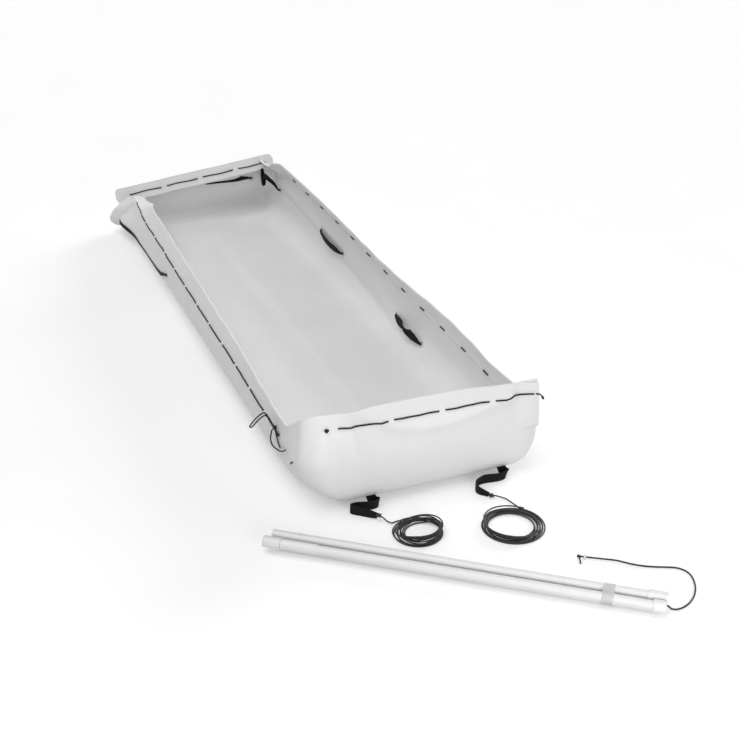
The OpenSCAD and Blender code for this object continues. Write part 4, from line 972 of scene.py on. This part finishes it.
def makeFrontFlap():
    # lies on the front panel and stands free past the corner; square end, lower edge stepped and falling inwards
    x = np.concatenate([np.linspace(226, 290, 24), [292.0, 293.0]])[:, None]
    v = np.linspace(0, 1, 26)[None]
    low = 138.0
    z = low + (268.6 - 9 * ease((x - 236) / 60) - low) * v
    lift = 0.9 * ease((x - 232) / 20) * ease(v / 0.12) - 0.15
    curl = 3.0 * ease((x - 266) / 30) * (1 - v) ** 1.5
    thick = 2.0 * ease((x - 228) / 8) + 0.02
    grids = [frontWall(x + 0 * v, z, lift - inset) for inset in (0 * thick, thick)]
    for grid in grids:
        grid[..., 1] += curl
    makeSheet("frontFlap", *grids, "front_flap")


def makeBand(name, y, height, top, sag, node):
    # a plate with round ends; its edges wave a little, and its face bellies between the stitches
    half, r, stretch = tub["wallHalf"][1], 12.0, 1.055
    bow = (half - r) + r * np.cos(np.linspace(0, np.pi / 2, 8))
    x = np.concatenate([-bow, np.linspace(-half + r + 3, half - r - 3, 70), bow[::-1]])[:, None]
    inset = r - np.sqrt(np.maximum(r ** 2 - np.maximum(np.abs(x) - (half - r), 0) ** 2, 0))
    v = np.linspace(0, 1, 12)[None]
    wave = 0.8 * np.sin(x / 41 + y) + 0.5 * np.sin(x / 17)
    z0, z1 = top - height + inset + wave, top - inset + 0.5 * wave
    z = z0 + (z1 - z0) * v
    belly = sag * np.sin(np.pi * v) * np.cos(2 * np.pi * x / 125) * ease((half - np.abs(x)) / 60)
    xs = np.where(x < 0, stretch * x, x) + 0 * v  # the left end hangs out a little
    grids = [np.stack([xs, y + belly + k, z], 2) for k in (tub["thick"], 0.0)]
    makeSheet(name, *grids, node, field=settle, marks=lambda p: foldMark(p) * 0.5)


def makeEar(sx, side, swell, first, last):
    # surplus sheet folded round the rear corner: a lobe that swells in the middle, with pleats down it
    u, v = np.linspace(0, 1, 40)[:, None], np.linspace(0, 1, 24)[None]
    a = np.radians(mixOf(first, last, u))
    z = 36 + 128 * v + 0 * a
    bulge = swell * np.interp(v, [0, 0.12, 0.25, 0.45, 0.65, 0.82, 0.93, 1], [0, 0.35, 0.72, 0.93, 1, 0.8, 0.45, 0.1])
    body = np.sin(np.pi * u) ** 0.9
    pleat = 1.8 * np.sin(9 * u + 3.0 * v) * body + 1.0 * np.sin(21 * u - 5 * v) * body
    bore = tub["rearCorner"] + 0.4
    outer = bore + 2.0 + bulge * body + pleat * np.sin(np.pi * np.clip(v, 0.02, 0.98))
    axis, end = tub["wallHalf"][1] - tub["rearCorner"], tub["wallRear"]
    grids = [np.stack([sx * (axis + r * np.cos(a)), end + r * np.sin(a), z], 2) for r in (outer, bore + 0 * outer)]
    makeSheet(side + "CornerFold", *grids, "corner_fold_" + side, field=settle, marks=lambda p: np.full(len(p), 0.35))


makeSideHem(1, "right")
makeSideHem(-1, "left")
makeFrontHem()
makeFrontFlap()
makeBand("rearBandInner", 932.9, 37.0, 198.0, 0.5, "rear_band_inner")
makeBand("rearBandOuter", 945.0, 40.0, 200.0, 1.0, "rear_band_outer")
makeEar(1, "right", 24.0, 8.0, 82.0)
makeEar(-1, "left", 50.0, -38.0, 76.0)
print("rim layers, band and corner folds made")

# lacing: a running stitch worked out as (station, off the face) and then laid on the sheet
lacing = {"radius": 1.9, "out": 1.7, "in": -5.9, "turn": 2.0, "rearMiddle": 6.0, "rearPitch": 131.0}
sideGaps = rimWave["firstGap"] + rimWave["pitch"] * np.arange(12)
leftGaps = np.append(sideGaps[:-1], [676.0, 756.0])
frontGaps = frontWave["middle"] + frontWave["pitch"] * np.arange(-1, 2)
rearGaps = lacing["rearMiddle"] + lacing["rearPitch"] * np.arange(-1, 2)


def roundPath(points, r, steps=4):
    # every corner becomes a quadratic curve that starts and ends r before and after it
    p = np.asarray(points, float)
    before, after = p[:-2] - p[1:-1], p[2:] - p[1:-1]
    reach = lambda d: unit(d) * np.minimum(r, 0.45 * np.linalg.norm(d, axis=1, keepdims=True))
    a, b = p[1:-1] + reach(before), p[1:-1] + reach(after)
    t = np.linspace(0, 1, steps + 1)[None, :, None]
    bends = (1 - t) ** 2 * a[:, None] + 2 * t * (1 - t) * p[1:-1, None] + t ** 2 * b[:, None]
    return np.vstack([p[:1], bends.reshape(-1, p.shape[1]), p[-1:]])


def stitchPlan(gaps, start, end, half=9.0):
    # (station, off the face): out along each stitch, and in through the sheet at both ends of each gap
    out, inside = lacing["out"], lacing["in"]
    holes = np.stack([gaps - half, gaps + half], 1).ravel()
    turns = np.stack([np.repeat(holes, 2), np.tile([out, inside, inside, out], len(gaps))], 1)
    return refine(roundPath(np.vstack([start, turns, end]), lacing["turn"]), 6.0)


def slack(plan, seed):
    # long stitches stand off a little and wander up and down between their holes
    wide = ease((plan[:, 1] - 0.9) / 0.5)
    return 1.0 * wide * np.sin(plan[:, 0] / 19 + seed) + 0.5 * wide * np.sin(plan[:, 0] / 7.3 + 2 * seed)


def makeRope(name, path, up, node):
    rope = makeTube(name, path, lacing["radius"], "sled", laceBraid, 10, up)
    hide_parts(node)


def makeSideLacing(sx, side):
    gaps, half = (sideGaps, 12.0) if sx > 0 else (leftGaps, 9.0)
    plan = stitchPlan(gaps, [[-765.5, lacing["out"]]], [[829.5, lacing["out"]]], half)
    route = sideLace(sx, plan[:, 0], plan[:, 1] + 0.25 * np.abs(slack(plan, 1.0)))
    route[:, 2] += slack(plan, 1.7 + sx)
    makeRope(side + "Lacing", ripple(route), (0.2, 0.1, 1), "lacing_" + side)


def makeFrontLacing():
    out, inside = lacing["out"], lacing["in"]
    end = [[279.0, out + 0.3], [279.0, inside], [286.0, inside], [286.0, out + 0.4], [293.0, out + 0.8]]
    plan = stitchPlan(frontGaps, [[-227.25, out]], end)
    x = plan[:, 0]
    over = 1.3 * ease((x - 228) / 10) * (plan[:, 1] > 0)
    route = endLace(x, plan[:, 1] + over + 0.2 * np.abs(slack(plan, 0.4)))
    route[:, 2] += 0.7 * slack(plan, 0.8) - 7 * ease((x - 236) / 60) + 6 * np.clip((-30 - x) / 200, 0, 1)
    # the doubled tail, from the last point of the route
    steps = np.array([(0, 0, 0), (3, -1.2, -2.2), (6, -1.6, -6.0), (8, -1.4, -11), (10, -3.2, -14), (9, -4.6, -9),
                      (5, -4.8, -4)])
    path = np.vstack([ripple(route), ripple(route[-1:])[0] + smoothPath(steps, 5)[1:]])
    makeRope("frontLacing", path, (0.1, 0.3, 1), "lacing_front")


def makeRearLacing():
    near, far, left, right = 931.0, 948.8, -246.0, 248.0
    holes = np.repeat(np.stack([rearGaps - 11, rearGaps + 11], 1).ravel(), 2)
    x = np.vstack([[[left, far], [left, near]], np.stack([holes, np.tile([near, far, far, near], 3)], 1),
                   [[right, near], [right, far]]])
    flat = refine(roundPath(x, lacing["turn"]), 6.0)
    z = 182 + 0.9 * np.sin(flat[:, 0] / 17) * ease((935 - flat[:, 1]) / 3)
    makeRope("rearLacing", settle(np.column_stack([flat, z])), (0.1, 0.2, 1), "lacing_rear")


def makeKnot(name, centre, axis, size, radius, material, node):
    path = overhand(centre, axis, size)
    tied = makeTube(name, path, radius, "sled", material, 10, unit(path - np.asarray(centre) + 1e-6))
    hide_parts(node)


makeSideLacing(1, "right")
makeSideLacing(-1, "left")
makeFrontLacing()
makeRearLacing()
atFront, atRight = ripple(endLace(-256.0, 3.2)) + (0, 0, 7), ripple(sideLace(1, np.array(-770.1), 3.6))
makeKnot("frontStopper", atFront, (1, 0.2, 0.3), 1.6, 1.8, laceBraid, "front_knot")
makeKnot("rightStopper", atRight, (0, 1, 0.1), 1.6, 1.8, laceBraid, "right_knot")
print("lacing made")


def makeBow():
    # the knots, then a loop, a long curved end and a short end, as (along the wall, off its face, up) from the knot
    start = ripple(sideLace(-1, np.array(-770.3), 3.2))
    knot = start + np.array([-2.5, 14.0, 15.0])
    strands = [
        [(1.6, 2.6, 1.8), (14, 4, 6), (34, 5, 10), (52, 8, 12), (55, 18, 8), (52, 34, -2), (46, 46, -10),
         (43, 49, -13), (41, 44, -13), (46, 30, -4), (48, 14, 6), (42, 6, 8), (24, 3.5, 3), (2, 3, -1)],
        [(0.8, 0, -2.4), (8, 5, -12), (17, 5, -30), (20, 5, -44), (12, 4.5, -54), (-2, 4, -54), (-18, 3.5, -50),
         (-38, 3, -44), (-60, 2, -33), (-74, 1.5, -22)],
        [(-2.4, 0, -2), (-5, 0, -12), (-10, -1, -24), (-22, -1, -35), (-30, -1.4, -41)],
    ]
    paths = [smoothPath(knot + np.array(s, float)[:, [1, 0, 2]] * (-1, 1, 1), 8) for s in strands]
    tied, second = overhand(knot, (0.1, 1, 0.2), 1.45), overhand(start, (0.9, 0.3, 0.5), 1.0)
    paths.append(smoothPath(np.array([start, start + (-3, 3, 4), knot + (-2, -4, -4), knot]), 6))
    ups = [unit(tied - knot + 1e-6), unit(second - start + 1e-6), (0.3, 0.1, 0.9), (0.8, 0.1, 0.6), (0.8, 0.2, 0.5),
           (0.9, 0.1, 0.2)]
    bow = makeTubes("cornerBow", [tied, second, *paths], 1.75, "sled", laceBraid, 10, ups)
    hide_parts("lacing_bow")


def sidePoint(sx, y, z, off):
    # a point off the side wall's face at height z: on the bend, or on the wall above it
    y, z, off = np.broadcast_arrays(np.asarray(y, float), np.asarray(z, float), np.asarray(off, float))
    s = sideSection(y, sx)
    a = np.arccos(np.clip(1 - z / s[..., 1], 0, 1))
    t = np.clip((z - s[..., 1]) / (s[..., 2] - s[..., 1]), 0, 1)
    bent = z < s[..., 1]
    reach = np.where(bent, s[..., 0] * np.sin(a), s[..., 0] - s[..., 3] * leanIn(t))
    run = np.where(bent, s[..., 0] * np.cos(a), -s[..., 3] * (0.4 + 1.2 * t) / (s[..., 2] - s[..., 1]))
    rise = np.where(bent, s[..., 1] * np.sin(a), 1.0)
    size = np.hypot(run, rise)
    return np.stack([sx * (tub["floorHalf"] + reach + off * rise / size), y, z - off * run / size], -1)


def wallAcross(sx, y, z):
    # the direction up the wall's face
    z = np.asarray(z, float)
    return unit(sidePoint(sx, y, z + 1, 0) - sidePoint(sx, y, z - 1, 0))


def makeCornerStitch():
    y, z, off = [-852, -852, -868, -868], [106, 106, 121, 121], [-5, 1.6, 1.6, -5]
    route = refine(roundPath(sidePoint(-1, y, z, off), 2.2), 4.0)
    makeRope("cornerStitch", ripple(route), (0, 1, 0.6), "corner_stitch")


makeBow()
makeCornerStitch()
print("bow made")

# webbing: straps carried along routes on the walls
webbing = {"width": 25.0, "thick": 1.6, "pinch": 6.4, "bow": 17.0}


def laidStrap(name, path, across, widths, body, node, field, per=6, twist=None):
    # the path, its width direction and its widths are smoothed together; a twist turns it over between two shares
    rows = smoothPath(np.column_stack([np.asarray(k, float) for k in (path, across, widths)]), per)
    route = field(rows[:, :3]) if field else rows[:, :3]
    w = unit(rows[:, 3:6])
    if twist is not None:
        t = tangents(route)
        w = unit(w - t * (w * t).sum(1, keepdims=True))
        u = np.linspace(0, 1, len(route))
        angle = (np.pi * ease((u - twist[0]) / (twist[1] - twist[0])))[:, None]
        w = w * np.cos(angle) + np.cross(t, w) * np.sin(angle)
    points, faces, uv = strapParts(route, webbing["width"], w, np.clip(rows[:, 6], 4, 26), webbing["thick"])
    piece = fixNormals(putMesh(name, points, faces, body, webbingWeave, uv))
    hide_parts(node)


holeTurn = np.array([[0, -3.4], [0.1, -4.9], [0.8, -6.8], [3, -8.4]])
outTurn = np.array([[0, -1.4], [0, 1.6], [1.4, 2.9], [5, 3.0], [12, 2.2]])


def makeLoop(name, y0, y1, body, node, twist):
    v = np.linspace(0.05, 0.95, 13)
    bow = np.stack([mixOf(y0, y1, v), -(2 + 7 + (webbing["bow"] - 7) * np.sin(np.pi * v))], 1)
    q = np.vstack([holeTurn + (y0, 0), bow, (holeTurn * (-1, 1) + (y1, 0))[::-1]])
    ends = [webbing["pinch"]] * 4
    run = mixOf(9.0, 21.0, ease(np.clip(np.minimum(v, 1 - v) / 0.24, 0, 1)))
    z = webHeight(1, q[:, 0])
    path, across = sidePoint(1, q[:, 0], z, q[:, 1]), wallAcross(1, q[:, 0], z)
    laidStrap(name, path, across, [*ends, *run, *ends], body, node, None, 6, twist)


def makeOuterWeb(name, sx, y0, y1, diveA, diveB, node):
    a0, b0 = (y0 + 24 if diveA else y0), (y1 - 24 if diveB else y1)
    y = np.linspace(a0, b0, 22)
    t = ease(np.minimum(y - y0 if diveA else 99, y1 - y if diveB else 99) / (60 if sx > 0 else 190))
    run = np.stack([y, mixOf(2.2, 1.0, t), mixOf(webbing["pinch"], webbing["width"], t)], 1)
    pinch = np.full((5, 1), webbing["pinch"])
    parts = [np.hstack([outTurn + (y0, 0), pinch])] if diveA else []
    parts.append(run)
    if diveB:
        parts.append(np.hstack([outTurn * (-1, 1) + (y1, 0), pinch])[::-1])
    q = np.vstack(parts)
    z = webHeight(sx, q[:, 0]) + 1.5 * np.sin(q[:, 0] / 60)
    path, across = sidePoint(sx, q[:, 0], z, q[:, 1]), wallAcross(sx, q[:, 0], z)
    laidStrap(name, path, across, q[:, 2], "sled", node, ripple, 5)


makeLoop("rearLashLoop", 300, 480, "rear_lash_loop", "handle_right_rear", None)
makeLoop("frontLashLoop", -300, -120, "front_lash_loop", "handle_right_front", (0.34, 0.62))
makeOuterWeb("webRightRear", 1, 480, 840, True, False, "web_right_rear")
makeOuterWeb("webRightMid", 1, -120, 300, True, True, "web_right_mid")
makeOuterWeb("webRightEnd", 1, -380, -300, False, True, "web_right_end")
makeOuterWeb("webLeft", -1, 318, 880, True, False, "web_left")


def makeLeftTail():
    i = np.arange(1, 8)
    inner = np.stack([318 - 3 - 9 * i, -9.4 + 0.3 * i], 1)
    q = np.vstack([holeTurn * (-1, 1) + (318, 0), inner])
    z = webHeight(-1, q[:, 0]) - np.concatenate([np.zeros(4), 0.5 * i ** 1.5])
    widths = [webbing["pinch"]] * 4 + list(mixOf(webbing["pinch"], webbing["width"], ease(i / 4)))
    path, across = sidePoint(-1, q[:, 0], z, q[:, 1]), wallAcross(-1, q[:, 0], z)
    laidStrap("webLeftTail", path, across, widths, "sled", "web_left_end", None, 5)


def rearPoint(x, z, off):
    # on the rear wall's outer face, at height z
    _, bend, lace, lean = tub["rearSection"][:4]
    t = np.clip((np.asarray(z, float) - bend) / (lace - bend), 0, 1)
    return np.stack([np.asarray(x, float), tub["tail"] - lean * leanIn(t) + off, np.asarray(z, float)], -1)


def makeRearWebs():
    x0, z0 = 194.0, 134.0
    x = x0 - np.array([170, 134, 94, 54, 26, 10, 3, 0.8, 0, 0])
    z = z0 + np.array([5, 5, 4.5, 3.5, 2, 0.6, -1, -2, -3, -3])
    off = -2 - np.array([-4, -2.6, -0.6, 3, 5.6, 6.2, 5.6, 4, 1.8, -2])
    across = [(0, 0.7, 1)] * 3 + [(0, 0.3, 1)] + [(0, -0.1, 1)] * 6
    w = webbing["width"]
    laidStrap("rearWallStrap", rearPoint(x, z, off), across, [w, w, w, 0.85 * w, 12, 6.4, 6.4, 6.4, 6.4, 6.4],
              "sled", "rear_web", None, 5)
    g = sidePoint(1, 868, 104, 0)
    x, y = 226.0, 909.0
    tail = [(x - 4, y, 176), (x - 3, y - 1, 160), (x - 1, y - 4, 142), (x, y - 5, 124), (x + 1, y - 4, 113)]
    low = g[2] - 1.5
    arm = [(x + 1, y - 5.8, 152), (x + 12, y - 16, 142), (g[0] - 22, g[1] + 10, 124), (g[0] - 12, g[1] + 3, low + 4),
           (g[0] - 7, g[1] + 0.6, low + 0.6), (g[0] - 4, g[1], low), (g[0], g[1], low)]
    straps = ((tail, (1, 0.4, 0), [10, 17, 21, 20, 13]), (arm, (0.3, 0.3, 1), [15, 15, 11, 6.4, 6.4, 6.4, 6.4]))
    parts = []
    for path, lie, widths in straps:
        r = smoothPath(np.column_stack([path, np.tile(lie, (len(path), 1)), widths]), 6)
        parts.append(strapParts(r[:, :3], w, unit(r[:, 3:6]), r[:, 6], webbing["thick"]))
    points, faces, uv = joinParts(parts)
    tie = fixNormals(putMesh("cornerTie", points, faces, "sled", webbingWeave, uv))
    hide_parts("corner_tie")


makeLeftTail()
makeRearWebs()
print("lash webbing made")


# tow straps: out of the slots in the nose, folded and lying on edge; the knots at their ends
towStraps = {
    "away": (0, -0.85, -0.53),  # out of the slot
    # each side: the slot, then the route from it to the knot, its lean at the first fold and its width at the tip
    "left": {"slot": (-136.0, -925.5, 20.0), "lean": 0.2, "tip": [25, 23, 16],
             "route": [(-130, -934, 10), (-124, -942, 12), (-127, -950, 13.6), (-140, -954, 14), (-160, -951, 14),
                       (-180, -946, 14), (-194, -945, 14), (-198, -949, 14), (-194, -956, 14), (-180, -969, 14),
                       (-164, -984, 14), (-151, -998, 14)]},
    "right": {"slot": (214.0, -925.5, 20.0), "lean": -0.2, "tip": [22, 17, 12],
              "route": [(218, -934, 10), (221, -942, 12), (213, -951, 14), (196, -956, 14), (176, -954, 14),
                        (157, -951, 14), (139, -955, 14), (124, -965, 14), (118, -979, 14), (121, -992, 13),
                        (129, -1001, 11), (138, -1008, 8)]},
}


def makeTowStrap(v, side):
    at = v[side]
    wavy = [(0, 0.06 * (k % 3 - 1), 1) for k in range(9)]
    across = [(1, 0, 0)] * 3 + [(1, 0, 0.6), (0.5, at["lean"], 1), (0.1, 0, 1)] + wavy
    widths = [25, 25, 25, 24, 23, 24, *[25] * 6, *at["tip"]]
    path = [*(np.array(at["slot"]) + d * np.array(v["away"]) for d in (-20, 0, 6)), *at["route"]]
    laidStrap(side + "TowStrap", path, across, widths, "sled", "tow_strap_" + side, None, 6)


for side in ("left", "right"):
    makeTowStrap(towStraps, side)
for side in ("left", "right"):
    at = towLine[side]
    makeKnot(side + "TowKnot", np.array(at["knot"]), at["way"], 1.9, 2.1, towBraid, "tow_knot_" + side)
makeInnerCord(shockCord)
print("tow straps and knots made")

# CAD solids whose shape is right keep it and take the better materials
finishes = (
    (pipePlastic, ("pole_tube_top", "pole_tube_front", "pole_tube_bottom", "pole_tube_cord")),
    (fittingPlastic, ("pole_coupler_top", "pole_coupler_front", "pole_sleeve", "pole_plug")),
    (bandFilm, ("pole_band",)),
    (ringMetal, ("grommets_side", "grommets_rear")),
)
for material, names in finishes:
    for name in names:
        for place in bpy.data.objects[name].material_slots:
            place.material = material
print("materials put on the CAD solids")
